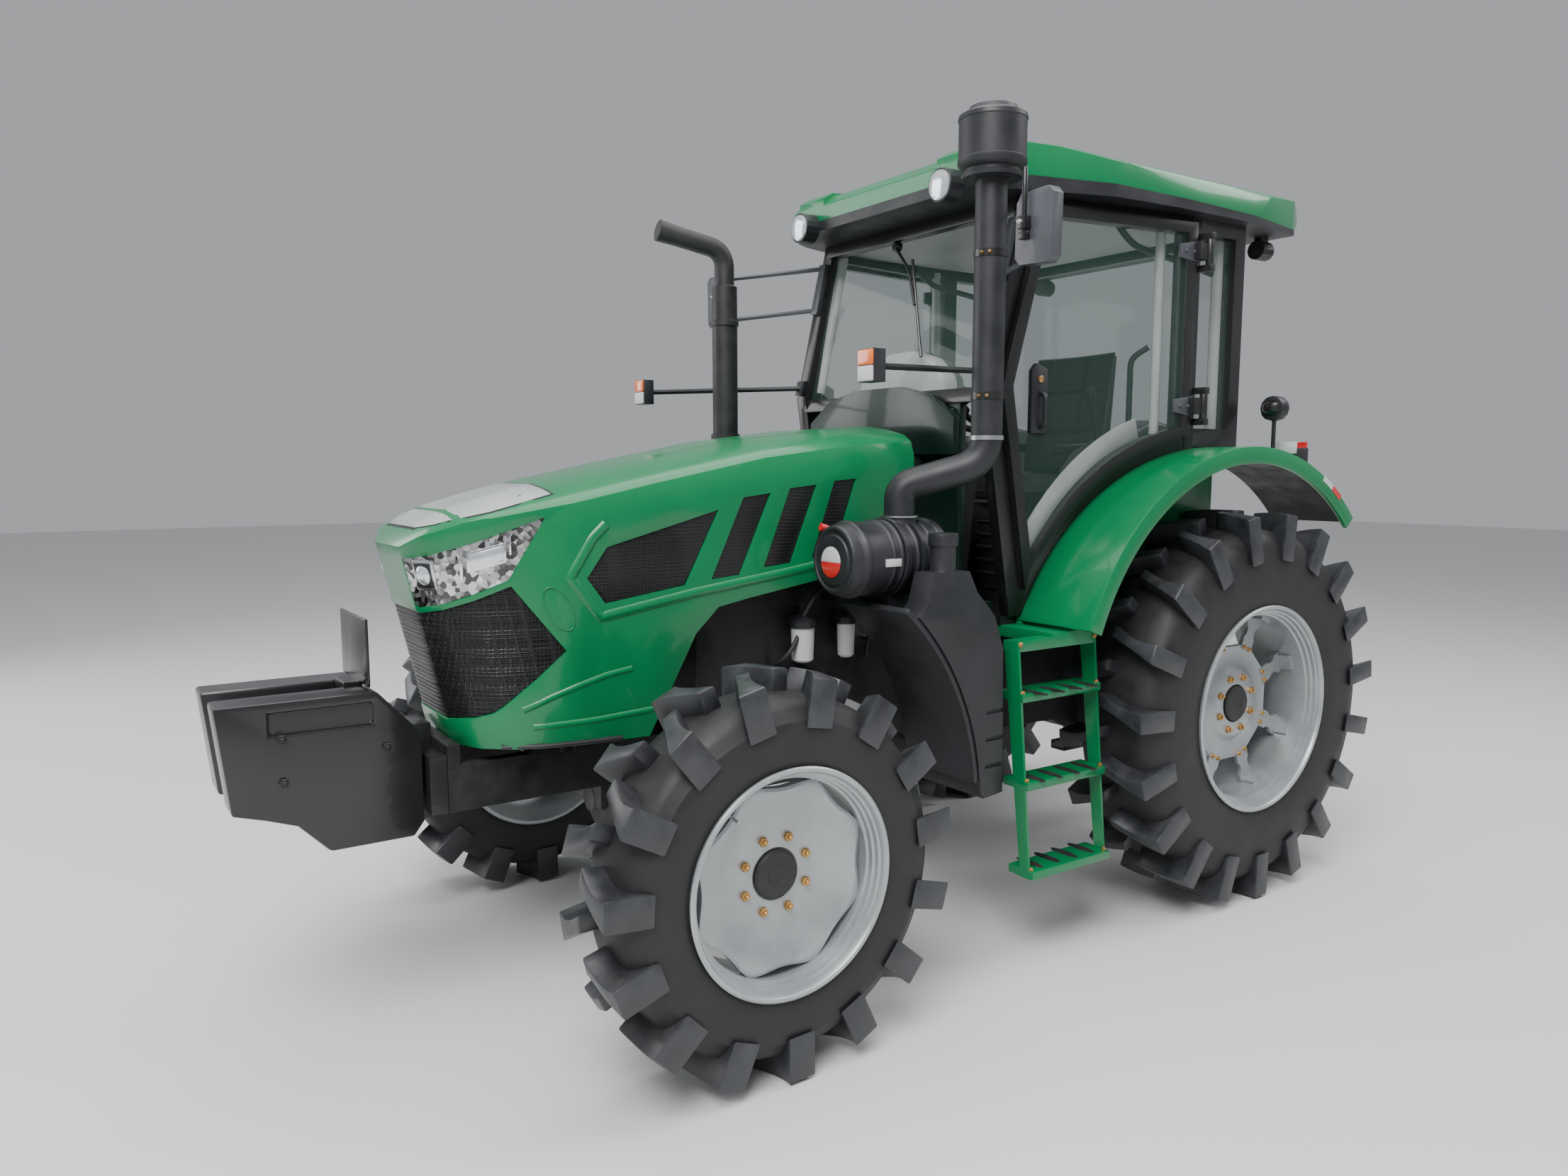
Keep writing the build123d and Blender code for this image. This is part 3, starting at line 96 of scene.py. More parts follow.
def new_material(name, slot, **inputs):
    mat = bpy.data.materials.new(name)
    mat.use_nodes = True
    shader = mat.node_tree.nodes["Principled BSDF"]
    return mat, mat.node_tree, feed(mat.node_tree, shader, **inputs)


def texture(tree, kind, scale, **inputs):
    """A texture node on object coordinates."""
    place = new_node(tree, "ShaderNodeTexCoord").outputs["Object"]
    return new_node(tree, kind, Vector=place, Scale=scale, **inputs)


def noise(tree, scale, detail=4.0, rough=0.55):
    return texture(tree, "ShaderNodeTexNoise", scale, Detail=detail, Roughness=rough).outputs["Fac"]


def ramp(tree, source, low, high, start=0.3, end=0.7):
    """A ramp between two colours or two grey values."""
    node = new_node(tree, "ShaderNodeValToRGB", Fac=source)
    for element, place, value in zip(node.color_ramp.elements, (start, end), (low, high)):
        element.position = place
        element.color = (*value, 1) if isinstance(value, tuple) else (value, value, value, 1)
    return node.outputs["Color"]


def bump(tree, source, strength, distance):
    return new_node(tree, "ShaderNodeBump", Strength=strength, Distance=distance,
                    Height=source).outputs["Normal"]


def lay_dust_and_sheen(tree, tone, dust_and_sheen, amount, scale):
    """Lay lighter patches over a colour, thickest where the surface faces up: dust, and on the
    tyres also a painted sheen on the upper faces.
    """
    spread = ramp(tree, noise(tree, scale, 8.0, 0.7), 0.0, amount, 0.45, 0.75)
    normal = new_node(tree, "ShaderNodeNewGeometry").outputs["Normal"]
    height = new_node(tree, "ShaderNodeSeparateXYZ", Vector=normal).outputs["Z"]
    both = new_node(tree, "ShaderNodeMath")
    both.operation = "MULTIPLY"
    tree.links.new(spread, both.inputs[0])
    tree.links.new(ramp(tree, height, 0.35, 1.0, 0.1, 0.9), both.inputs[1])
    blend = new_node(tree, "ShaderNodeMix")
    blend.data_type = "RGBA"
    feed(tree, blend, Factor=both.outputs["Value"], A=tone, B=(*dust_and_sheen, 1))
    return blend.outputs["Result"]


def surface(name, slot, tones, rough, patch, grain=None, metallic=0.0, coat=0.0, specular=0.5,
            dust_and_sheen=None):
    """A coloured surface with soft variation in colour and roughness, and a fine grain.

    tones are two colours in thousandths, rough is the range of roughness, patch the scale of the
    variation, and grain the scale, strength and depth of a bump. The last argument is the colour,
    amount and scale of lighter patches on up-facing faces: dust, and on the tyres also a painted
    sheen.
    """
    mat, tree, shader = new_material(name, slot, Metallic=metallic, Coat_Weight=coat,
                                     Coat_Roughness=0.08, Specular_IOR_Level=specular)
    patches = noise(tree, patch)
    tone = ramp(tree, patches, *mm(tones))
    feed(tree, shader, Base_Color=lay_dust_and_sheen(tree, tone, *dust_and_sheen) if dust_and_sheen else tone,
         Roughness=ramp(tree, patches, *rough, 0.35, 0.65))
    if grain:
        scale, strength, depth = grain
        feed(tree, shader, Normal=bump(tree, noise(tree, scale, 3.0), strength, depth))
    return mat


DUST = (0.16, 0.14, 0.11)
GREEN = surface("green_paint", "green_paint", "0 160 50, 1 195 64", (0.26, 0.36), 1.6,
                (260, 0.03, 0.001), coat=0.35, specular=0.38)
DARK_GREEN = surface("dark_green_paint", "green_paint", "3 12 9, 5 20 14", (0.3, 0.42), 5,
                     (260, 0.05, 0.001), coat=0.3)
# tyre rubber with dust; its lighter patches on the upper faces are also a painted sheen
RUBBER = surface("tyre_rubber", "tyre_rubber", "10 10 11, 22 22 24", (0.50, 0.66), 9,
                 (420, 0.35, 0.0006), specular=0.45, dust_and_sheen=((0.07, 0.058, 0.045), 0.22, 7.0))
# the lugs' rubber, lighter and bluer than the casing's: a painted sheen on the same rubber, with
# dust and more painted sheen on its upper faces
TREAD_SHEEN = surface("tyre_tread_sheen", "tyre_rubber", "16 17 20, 36 39 46", (0.34, 0.50), 14,
                (380, 0.3, 0.0006), specular=0.6, dust_and_sheen=((0.13, 0.12, 0.11), 0.30, 10.0))
WHEEL = surface("wheel_silver", "wheel_grey", "330 350 360, 420 440 450", (0.30, 0.42), 7,
                (500, 0.06, 0.001), metallic=0.45, coat=0.15, dust_and_sheen=(DUST, 0.25, 9.0))
CAST = surface("black_casting", "cast_black", "10 10 11, 22 22 23", (0.42, 0.6), 14,
               (340, 0.4, 0.0012), dust_and_sheen=(DUST, 0.2, 6.0))
BLACK = surface("black_paint", "black_paint", "8 8 9, 14 14 15", (0.26, 0.38), 4,
                (300, 0.06, 0.001), coat=0.25)
MOULDED = surface("moulded_black", "black_moulding", "11 12 14, 20 21 25", (0.40, 0.54), 8,
                  (900, 0.3, 0.0004))
GREY = surface("grey_moulding", "black_moulding", "50 52 62, 72 75 86", (0.34, 0.46), 6,
               (800, 0.2, 0.0004), coat=0.2)
STEEL = surface("bright_steel", "bright_steel", "420 420 430, 580 580 600", (0.22, 0.36), 20,
                (500, 0.1, 0.001), metallic=0.95)
BRASS = surface("brass_bolts", "bright_steel", "420 240 80, 600 360 140", (0.26, 0.42), 30,
                (700, 0.15, 0.001), metallic=0.85)
LENS = surface("lamp_lens", "lamp_lens", "620 660 700, 800 830 860", (0.06, 0.14), 18,
               metallic=0.6, coat=1.0)
CHROME = surface("lamp_mirror", "lamp_lens", "700 720 740, 840 850 870", (0.05, 0.12), 24,
                 metallic=0.9, coat=1.0)
WHITE = surface("pale_trim", "interior", "520 530 530, 620 630 630", (0.34, 0.48), 5,
                (500, 0.12, 0.001))
ORANGE = surface("amber_lens", "lamp_lens", "800 130 15, 900 200 30", (0.12, 0.2), 30, coat=1.0)
RED = surface("red_lens", "lamp_lens", "550 12 15, 680 20 22", (0.12, 0.2), 30, coat=1.0)
INTERIOR = surface("interior_grey", "interior", "45 47 52, 70 73 80", (0.5, 0.65), 8,
                   (700, 0.25, 0.0004))
SEAT = surface("seat_cover", "seat_cover", "20 20 22, 36 36 40", (0.7, 0.85), 14,
               (420, 0.22, 0.0004))


def glass(name, slot, tint, opacity):
    mat, tree, shader = new_material(name, slot, Roughness=0.04, Alpha=opacity, Coat_Weight=0.15,
                                     Coat_Roughness=0.02, Specular_IOR_Level=0.5)
    feed(tree, shader, Base_Color=ramp(tree, noise(tree, 1.3), tint, tuple(1.15 * c for c in tint)))
    return mat


def woven(name, slot, low, high, pitch, depth):
    """A black mesh panel: a fine honeycomb pressed into dark plastic."""
    mat, tree, shader = new_material(name, slot, Roughness=0.38)
    cells = texture(tree, "ShaderNodeTexVoronoi", 1 / pitch)
    cells.feature = "DISTANCE_TO_EDGE"
    edge = feed(tree, cells, Randomness=0.0).outputs["Distance"]
    # the cell middles are darker than the ribs between them: painted shade in the hollows
    feed(tree, shader, Base_Color=ramp(tree, edge, high, low, 0.04, 0.16),
         Normal=bump(tree, ramp(tree, edge, 1.0, 0.0, 0.04, 0.2), 0.8, depth))
    return mat


def crystal(name, slot):
    """The faceted mirror inside a lamp, behind its clear cover."""
    mat, tree, shader = new_material(name, slot, Metallic=0.75, Coat_Weight=1.0)
    cells = texture(tree, "ShaderNodeTexVoronoi", 62)
    facet = cells.outputs["Color"]
    # facet by facet the colour runs from near black to bright: painted reflections in the mirror,
    # the dark facets also painting the shade deep in the lamp
    feed(tree, shader, Base_Color=ramp(tree, facet, 0.04, 0.72, 0.3, 0.85),
         Roughness=ramp(tree, facet, 0.08, 0.22, 0.2, 0.8),
         Normal=bump(tree, cells.outputs["Distance"], 0.35, 0.004))
    return mat


GLASS = glass("cab_glass", "cab_glass", (0.045, 0.100, 0.078), 0.17)
PANEL_SILVER = surface("panel_silver", "wheel_grey", "400 430 420, 500 530 520", (0.16, 0.26), 3,
                       (400, 0.03, 0.001), coat=0.8)
MIRROR = surface("mirror_glass", "bright_steel", "550 580 600, 620 650 670", (0.03, 0.06), 6,
                 metallic=1.0)
MESH = woven("grille_mesh", "black_moulding", (0.003, 0.003, 0.0035), (0.014, 0.014, 0.016), 0.011,
             0.002)
CRYSTAL = crystal("lamp_crystal", "lamp_lens")

# ---------------- looks of the CAD nodes
for material, names in (
        (RUBBER, " ".join(n for n in nodes if n.startswith("tyre_"))),
        (WHEEL, " ".join(n for n in nodes if n.startswith("rim_"))),
        (CAST, "front_axle front_frame engine transmission rear_axle knuckle_left knuckle_right "
               "hitch_casting"),
        (BLACK, "front_weights weight_bracket radiator lift_arms lift_rods lower_links drawbar "
                "cab_frame cab_floor door_left door_right"),
        (STEEL, "steering_rod link_pins pto_shaft"),
        (GREEN, "hood_shell cab_roof fender_left fender_right steps"),
        (DARK_GREEN, "cowl"),
        (MESH, "hood_grille hood_vents"),
        (MOULDED, "fuel_tank battery_box mudguards air_cleaner turn_lamps exhaust tail_lamps "
                  "work_lamps"),
        (GREY, "intake_stack mirrors"),
        (CRYSTAL, "headlamps"),
        (GLASS, "windshield rear_windows door_glass_left door_glass_right"),
        (SEAT, "seat"),
        (INTERIOR, "console steering_wheel")):
    for name in names.split():
        mesh = nodes[name].data
        mesh.materials.clear()
        mesh.materials.append(material)


def smooth_group():
    """Geometry nodes that shade a mesh smooth and keep the edges over 32 degrees sharp."""
    group = bpy.data.node_groups.new("smooth_by_angle", "GeometryNodeTree")
    for in_out in ("INPUT", "OUTPUT"):
        group.interface.new_socket("Geometry", in_out=in_out, socket_type="NodeSocketGeometry")
    start = new_node(group, "NodeGroupInput")
    faces = new_node(group, "GeometryNodeSetShadeSmooth", Geometry=start.outputs[0],
                     Shade_Smooth=True)
    angle = new_node(group, "GeometryNodeInputMeshEdgeAngle").outputs["Unsigned Angle"]
    compare = new_node(group, "FunctionNodeCompare", A=angle, B=radians(32))
    compare.operation = "GREATER_THAN"
    edges = new_node(group, "GeometryNodeSetShadeSmooth")
    edges.domain = "EDGE"
    feed(group, edges, Geometry=faces.outputs[0], Shade_Smooth=False,
         Selection=compare.outputs["Result"])
    new_node(group, "NodeGroupOutput", Geometry=edges.outputs[0])
    return group


SMOOTH = smooth_group()


def soften(thing, width, segments=2):
    """Round an object's edges and shade its curved faces smooth."""
    if width:
        weld = thing.modifiers.new("weld", "WELD")
        weld.merge_threshold = 0.00005
        rounding = thing.modifiers.new("round", "BEVEL")
        rounding.width = width
        rounding.segments = segments
        rounding.limit_method = "ANGLE"
        rounding.angle_limit = radians(38)
        rounding.use_clamp_overlap = True
    shade = thing.modifiers.new("smooth", "NODES")
    shade.node_group = SMOOTH


for width, names in (
        (0.001, "headlamps hood_grille hood_vents"),
        (0.003, "steps"),
        (0.004, "hood_shell cab_frame door_left door_right weight_bracket tail_lamps drawbar "
                "radiator"),
        (0.005, "cowl front_frame mudguards turn_lamps lower_links lift_arms rear_axle"),
        (0.006, "fender_left fender_right mirrors front_axle hitch_casting knuckle_left "
                "knuckle_right"),
        (0.008, "cab_roof front_weights"),
        (0.010, "battery_box engine transmission"),
        (0.012, "fuel_tank console")):
    for name in names.split():
        soften(nodes[name], width)


# ---------------- tools for the pieces
def add_piece(name, bm, body, material, rounding=0.0, segments=2, closed=True):
    """Turn a bmesh into a piece that rides on a body and takes the given material."""
    if closed:
        bmesh.ops.recalc_face_normals(bm, faces=bm.faces)
    mesh = bpy.data.meshes.new(name)
    bm.to_mesh(mesh)
    bm.free()
    mesh.materials.append(material)
    piece = bpy.data.objects.new(name, mesh)
    bpy.context.scene.collection.objects.link(piece)
    soften(piece, rounding, segments)
    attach(piece, body)
    return piece


def made(name, body, material, *shapes, rounding=0.0, segments=2):
    """A piece made of shapes, each given as the function that draws it and what that takes."""
    bm = bmesh.new()
    for draw, *given in shapes:
        draw(bm, *given)
    return add_piece(name, bm, body, material, rounding, segments)


def mix(a, b, share):
    return a + (b - a) * share


def ring_of(bm, points):
    return [bm.verts.new(p) for p in points]


def bridge(bm, rings, loop=False):
    """Join neighbouring rings of points with faces; a ring of one point is a pole."""
    pairs = list(zip(rings, rings[1:]))
    if loop:
        pairs.append((rings[-1], rings[0]))
    for a, b in pairs:
        count = max(len(a), len(b))
        for i in range(count):
            j = (i + 1) % count
            corners = dict.fromkeys((a[i % len(a)], a[j % len(a)], b[j % len(b)], b[i % len(b)]))
            if len(corners) > 2:
                bm.faces.new(list(corners))


def loft(bm, rings):
    """Join rings and close both ends."""
    bridge(bm, rings)
    bm.faces.new(rings[0])
    bm.faces.new(rings[-1])


def circle(count):
    """The cosine and sine of even steps round a full turn."""
    return [(cos(2 * pi * i / count), sin(2 * pi * i / count)) for i in range(count)]


def turn(bm, profile, segments, matrix, loop=False):
    """Turn (along, radius) points about the local X axis of a matrix."""
    bridge(bm, [ring_of(bm, [matrix @ Vector((along, radius * c, radius * s))
                             for c, s in circle(segments if radius > 0 else 1)])
                for along, radius in profile], loop)


def hoop(bm, half, outer, inner, segments, matrix):
    """A flat band round a pipe."""
    turn(bm, ((-half, outer), (half, outer), (half, inner), (-half, inner)), segments, matrix, True)


def pointing(place, direction):
    """A matrix at a place whose local X axis points in a direction."""
    turned = Vector((1, 0, 0)).rotation_difference(Vector(direction))
    return Matrix.Translation(place) @ turned.to_matrix().to_4x4()


def upright(x, y):
    """A matrix on the ground whose local X axis points up."""
    return pointing((x, y, 0), UP)


def plate(bm, outline, low, high, put):
    """A prism over an outline of (u, v) points; put(u, v, w) places a point, w from low to high."""
    bottom = ring_of(bm, [put(u, v, low) for u, v in outline])
    top = ring_of(bm, [put(u, v, high) for u, v in outline])
    bm.faces.new(bottom)
    bm.faces.new(top)
    bridge(bm, [bottom, top])


def rectangle(u, v):
    return ((u[0], v[0]), (u[1], v[0]), (u[1], v[1]), (u[0], v[1]))


def box(bm, x, y, z):
    """A box between pairs of coordinates."""
    plate(bm, rectangle(x, y), *z, facing_up)


def facing_up(u, v, w):
    return Vector((u, v, w))


def facing_side(u, v, w):
    return Vector((w, u, v))


def facing_side_from_axle(u, v, w):
    return Vector((w, FA + u, v))


def facing_front(u, v, w):
    return Vector((u, w, v))


def placed_by(matrix, slant=0.0):
    """Places points with w along the local X axis of a matrix, slanted up along u."""
    return lambda u, v, w: matrix @ Vector((w, u, v + slant * u))


def rounded(points, bend, steps=8):
    """A path whose corners are eased over the length bend."""
    points = [Vector(p) for p in points]
    path = [points[0]]
    for before, corner, after in zip(points, points[1:], points[2:]):
        back, ahead = before - corner, after - corner
        reach = min(bend, back.length * 0.49, ahead.length * 0.49)
        a, b = corner + back.normalized() * reach, corner + ahead.normalized() * reach
        for i in range(steps + 1):
            t = i / steps
            path.append((1 - t) ** 2 * a + 2 * t * (1 - t) * corner + t * t * b)
    path.append(points[-1])
    return path


def sweep(bm, path, radius, sides=16):
    """A tube along a path."""
    normal = None
    rings = []
    for i, place in enumerate(path):
        ahead = (path[min(i + 1, len(path) - 1)] - path[max(i - 1, 0)]).normalized()
        if normal is None:
            normal = ahead.orthogonal().normalized()
        normal = (normal - ahead * normal.dot(ahead)).normalized()
        across = ahead.cross(normal)
        rings.append(ring_of(bm, [place + radius * (normal * c + across * s)
                                  for c, s in circle(sides)]))
    loft(bm, rings)


def tube(bm, points, bend, radius, sides, steps=8):
    """A tube through points, with eased bends."""
    sweep(bm, rounded(points, bend, steps), radius, sides)


def dome(start, rise, radius, angles):
    """The profile of a domed end, for turn."""
    return [(start + rise * sin(radians(a)), radius * cos(radians(a))) for a in angles] + [
        (start + rise, 0)]


def bolt(bm, place, direction, radius, height):
    """A hexagon head with a rounded end of the stud on it."""
    at = pointing(place, direction)
    turn(bm, ((-0.002, 0), (-0.002, radius), (height * 0.8, radius), (height, radius * 0.82),
              (height, 0)), 6, at)
    turn(bm, ((height - 0.001, 0), (height - 0.001, radius * 0.5), (height * 1.5, radius * 0.5),
              (height * 1.7, radius * 0.35), (height * 1.7, 0)), 10, at)


def surface_of(name):
    """A ray caster on a CAD node's mesh."""
    mesh = nodes[name].data
    return BVHTree.FromPolygons([v.co.copy() for v in mesh.vertices],
                                [tuple(p.vertices) for p in mesh.polygons])


def cast(tree, start, direction):
    """The point where a ray meets a surface, or None, and the surface's normal there."""
    return tree.ray_cast(Vector(start), Vector(direction))[:2]


def mirrored(side, points):
    return [(side * x, y, z) for x, y, z in points]


# ---------------- tyres
# axle, wheel's place across and along, tyre's radius and half width, rim's radius, lug height,
# lugs in a row, breadth of a lug, rim's half width, place of the wheel disc's face
AXLES = (("front", 0.890, FA, 0.560, 0.144, 0.3048, 0.062, 15, 1.0, 0.140, 0.036),
         ("rear", 0.790, RA, 0.745, 0.189, 0.381, 0.064, 19, 0.86, 0.178, 0.023))
# stations of a lug: place across the tyre, half thickness at the top and at the root
LUG = ((-0.04, 0.024, 0.030), (0.10, 0.023, 0.030), (0.28, 0.022, 0.030), (0.46, 0.023, 0.032),
       (0.64, 0.027, 0.038), (0.80, 0.034, 0.047), (0.91, 0.040, 0.054), (1.0, 0.043, 0.057))
LUG_START = -LUG[0][0]
LEAN_START, LEAN_RUN = 0.040, 0.062
TOP_CLEARANCE = 0.0002        # keeps the lugs' tops just inside the CAD tyre's radius
SHOULDER_FALL, ROOT_DEPTH = 0.007, 0.008


def casing_outline(half, tread, belly, rim):
    """The casing's section from its middle to its bead, as (across, radius) points."""
    return ((0.0, tread), (0.42 * half, tread - 0.003), (0.66 * half, tread - 0.012),
            (0.79 * half, tread - 0.030), (0.865 * half, tread - 0.052),
            (0.915 * half, belly + 0.014), (0.932 * half, belly - 0.016),
            (0.935 * half, mix(rim, belly, 0.60)), (0.925 * half, mix(rim, belly, 0.36)),
            (0.915 * half, mix(rim, belly, 0.31)), (0.905 * half, mix(rim, belly, 0.24)),
            (0.890 * half, rim + 0.021), (0.880 * half, rim + 0.018), (0.870 * half, rim + 0.012),
            (0.80 * half, rim + 0.001))


def radius_on(outline, across):
    """The radius of an outline at a place across the tyre."""
    for (x0, r0), (x1, r1) in zip(outline, outline[1:]):
        if x0 <= across <= x1:
            return mix(r0, r1, (across - x0) / (x1 - x0))
    return outline[0][1]


def tyre_mesh(centre, radius, half, rim, lug_height, lugs, stout):
    """A casing with two rows of curved lugs half a pitch apart, each run down the shoulder."""
    bm = bmesh.new()
    tread = radius - lug_height
    belly = rim + 0.62 * (tread - rim)
    outline = casing_outline(half, tread, belly, rim)
    section = [(-x, r) for x, r in reversed(outline[1:])] + list(outline)
    turn(bm, section, 8 * lugs, Matrix.Translation(centre), loop=True)
    casing_faces = len(bm.faces)
    for side, shift in ((1, 0.0), (-1, pi / lugs)):
        for step in range(lugs):
            start = -pi / 2 + shift + step * 2 * pi / lugs
            rings = []
            for share, top_half, root_half in LUG:
                run = (share + LUG_START) / (1 + LUG_START)
                lean = LEAN_START - LEAN_RUN * (1 - (1 - run) ** 1.45)
                top_half, root_half = top_half * stout, root_half * stout
                top = radius - TOP_CLEARANCE - SHOULDER_FALL * max(0.0, share - 0.6) / 0.4
                root = belly - 0.004
                if share < 1:
                    root = radius_on(outline, abs(share) * half) - ROOT_DEPTH
                root_x = share * half
                top_x = root_x - (0.030 * half if share == 1.0 else 0.0)
                corners = ((top_x, top, lean + top_half), (top_x, top, lean - top_half),
                           (root_x, root, lean - root_half), (root_x, root, lean + root_half))
                rings.append(ring_of(bm, [Vector(centre) + Vector((
                    side * x, r * cos(start - t / radius), r * sin(start - t / radius)))
                    for x, r, t in corners]))
            loft(bm, rings)
    # the lug faces take the second material, the rubber with the painted sheen
    bm.faces.ensure_lookup_table()
    for face in bm.faces[casing_faces:]:
        face.material_index = 1
    return bm


for axle, wheel_x, wheel_y, radius, half, rim, lug_height, lugs, stout, _, _ in AXLES:
    for side_name, side in SIDES:
        centre = (side * wheel_x, wheel_y, radius)
        bm = tyre_mesh(centre, radius, half, rim, lug_height, lugs, stout)
        tyre = add_piece(f"{axle}_{side_name}_lugged_tyre", bm, f"{axle}_{side_name}_wheel",
                         RUBBER, 0.005)
        # second material for the lugs: the rubber with the painted sheen
        tyre.data.materials.append(TREAD_SHEEN)
        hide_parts(f"tyre_{axle}_{side_name}")


# ---------------- rims
STUD_CIRCLE, WELL_DEPTH, REAR_HUB_RISE = 0.106, 0.031, 0.022
SPOKES = [2 * pi * k / 8 + pi / 8 for k in range(8)]      # angles of the studs and slots


def shifted(points, along, outwards=0.0):
    """A profile moved along its axis and outwards."""
    return [(along + x, outwards + r) for x, r in points]


def barrel_outline(half, rim):
    """Flange, stepped ridges and well of a rim, x outwards, as a closed section."""
    outer = mm("-15 11, -4 14, 0 9, -1 0, -8 -5, -17 -6, -21 -13, -34 -14, -38 -21, -52 -22, "
               "-56 -29, -75 -31")
    inner = mm("75 -31, 50 -20, 16 -8, 1 0, 0 9, 4 14, 15 11, 18 -2")
    return [*shifted(outer, half, rim), *shifted(inner, -half, rim), (half - 0.018, rim - 0.002)]


# stations of the wheel discs: place out of the face, radius, depth of the edge's wave
DISCS = {"front": mm("-4 68 0, 0 74 0, 0 118 0, 4 145 0, 14 180 0, 27 213 2.6, 36 243 13, "
                     "40 265.8 24.7, 37 275.8 26, 12 275.8 26, 8 225 7.8, -14 74 0"),
         "rear": mm("-4 68 0, 22 74 0, 22 122 0, 18 132 0, 4 146 0, 0 160 0, 0 200 0, "
                    "3 232 12, -4 238 12, -14 232 12, -14 74 0")}


def wavy_disc(bm, stations, face, matrix, count=128):
    """A dished disc whose radius waves in between eight lobes."""
    rings = []
    for along, radius, wave in stations:
        ring = []
        for i in range(count):
            angle = 2 * pi * i / count
            dip = wave * (0.5 - 0.5 * cos(8 * (angle + pi / 8))) ** 0.7
            ring.append(matrix @ Vector((face + along, (radius - dip) * cos(angle),
                                         (radius - dip) * sin(angle))))
        rings.append(ring_of(bm, ring))
    bridge(bm, rings, loop=True)


def arms(bm, face, well, spins):
    """The rear disc's eight necked arms, each with a lug that meets the rim."""
    half = [*mm("34 212, 34 262, 24 276, 24 300, 40 318"), (0.040, well + 0.002)]
    outline = [(-half[0][0], half[0][1]), *half] + [(-u, v) for u, v in reversed(half[1:])]
    for spin in spins:
        plate(bm, outline, face - 0.010, face + 0.004, placed_by(spin))
        plate(bm, rectangle((-0.030, 0.030), (face - 0.004, face + 0.052)), well - 0.012,
              well + 0.001, lambda u, v, w: spin @ Vector((v, u, w)))


for axle, wheel_x, wheel_y, radius, _, rim, _, _, _, half, face in AXLES:
    front = axle == "front"
    well = rim - WELL_DEPTH
    raised = face if front else face + REAR_HUB_RISE
    for side_name, side in SIDES:
        outward = pointing((side * wheel_x, wheel_y, radius), (side, 0, 0))
        spins = [outward @ Matrix.Rotation(angle, 4, "X") for angle in SPOKES]
        body, name = f"{axle}_{side_name}_wheel", f"{axle}_{side_name}"
        shell = made(f"{name}_rim_shell", body, WHEEL,
                     (turn, barrel_outline(half, rim), 96, outward, True),
                     (wavy_disc, DISCS[axle], face, outward),
                     *([] if front else [(arms, face, well, spins)]))
        made(f"{name}_hub_cap", body, CAST,
             (turn, shifted(mm("-40 0, -40 78, -14 78, -6 69"), face)
              + shifted(mm("6 69, 12 62, 13 30, 10 26, 10 0"), raised), 48, outward))
        places = [(raised, STUD_CIRCLE * cos(a), STUD_CIRCLE * sin(a)) for a in SPOKES]
        studs = [(bolt, outward @ Vector(p), (side, 0, 0), 0.0135, 0.012) for p in places]
        if not front:
            studs += [(bolt, spin @ Vector((face + 0.003, sideways, 0.222)), (side, 0, 0), 0.009,
                       0.008) for spin in spins for sideways in (-0.018, 0.018)]
        made(f"{name}_wheel_studs", body, BRASS, *studs)
        valve = outward @ Matrix.Rotation(radians(40), 4, "X")
        made(f"{name}_valve", body, STEEL,
             (sweep, [valve @ Vector((x, 0, r))
                      for x, r in shifted(mm("40 2, 52 -12, 78 -20"), face, well)], 0.0045, 10))
        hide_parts(f"rim_{axle}_{side_name}")


# ---------------- air cleaner, intake and exhaust
CLEANER = Vector((0.572, FA + 0.450, 1.366))
OUTLET = Vector((0.572, FA + 0.720, 1.366))
STACK = Vector((0.722, FA + 0.955, 0.0))
EXHAUST_X, EXHAUST_Y = -0.480, FA + 0.700

ribs = [point for k in range(6)
        for point in shifted(mm("0 118.5, 4 123.5, 10 123.5, 14 118.5"), 0.150 + 0.032 * k)]
cleaner = made(
    "air_cleaner_canister", CHASSIS, MOULDED,
    (turn, [*mm("0 0, 0 78, 6 82, 6 92, 1 96, 4 106, 16 111, 40 112, 44 118, 52 123.5, 64 123.5, "
                "68 118.5, 120 118.5"), *ribs,
            *mm("352 118.5, 358 124, 372 124, 384 120, 399 100, 399 0")], 56,
     pointing(CLEANER, BACK)),
    (turn, mm("60 60, 105 60, 112 57, 134 57"), 32, pointing(OUTLET, UP)),
    (box, (0.2553, 0.617), (FA + 0.640, FA + 0.740), (1.200, 1.250)),
    *((hoop, 0.009, 0.1285, 0.117, 56, pointing((CLEANER.x, FA + y, CLEANER.z), BACK))
      for y in (0.655, 0.725)),
    rounding=0.002)
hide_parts("air_cleaner")

half_disc = [(0.049 * cos(pi * k / 16), 0.049 * sin(pi * k / 16)) for k in range(17)]
for name, sign, material in (("cleaner_mark_white", 1, WHITE), ("cleaner_mark_red", -1, RED)):
    made(name, CHASSIS, material,
         (plate, half_disc, -0.003, 0.004,
          lambda u, v, w: CLEANER + Vector((u - 0.005, w, sign * v - 0.006))), rounding=0.001)
made("cleaner_blank_label", CHASSIS, WHITE,
     (box, (0.6895, 0.6970), (-0.372, -0.312), (1.348, 1.372)), rounding=0.001)
made("cleaner_red_cap", CHASSIS, RED,
     (turn, mm("-12 0, -12 11, 14 13, 16 0"), 20,
      pointing(CLEANER + Vector((-0.066, 0.018, 0.098)), (-0.2, -1, 0.25))))
made("intake_clamps", CHASSIS, STEEL,
     (hoop, 0.003, 0.0625, 0.056, 40, pointing((OUTLET.x, OUTLET.y, 1.497), UP)),
     (hoop, 0.007, 0.0545, 0.050, 40, pointing((STACK.x, STACK.y, 1.748), UP)))
STRAP_HEIGHTS = (1.880, 2.322)
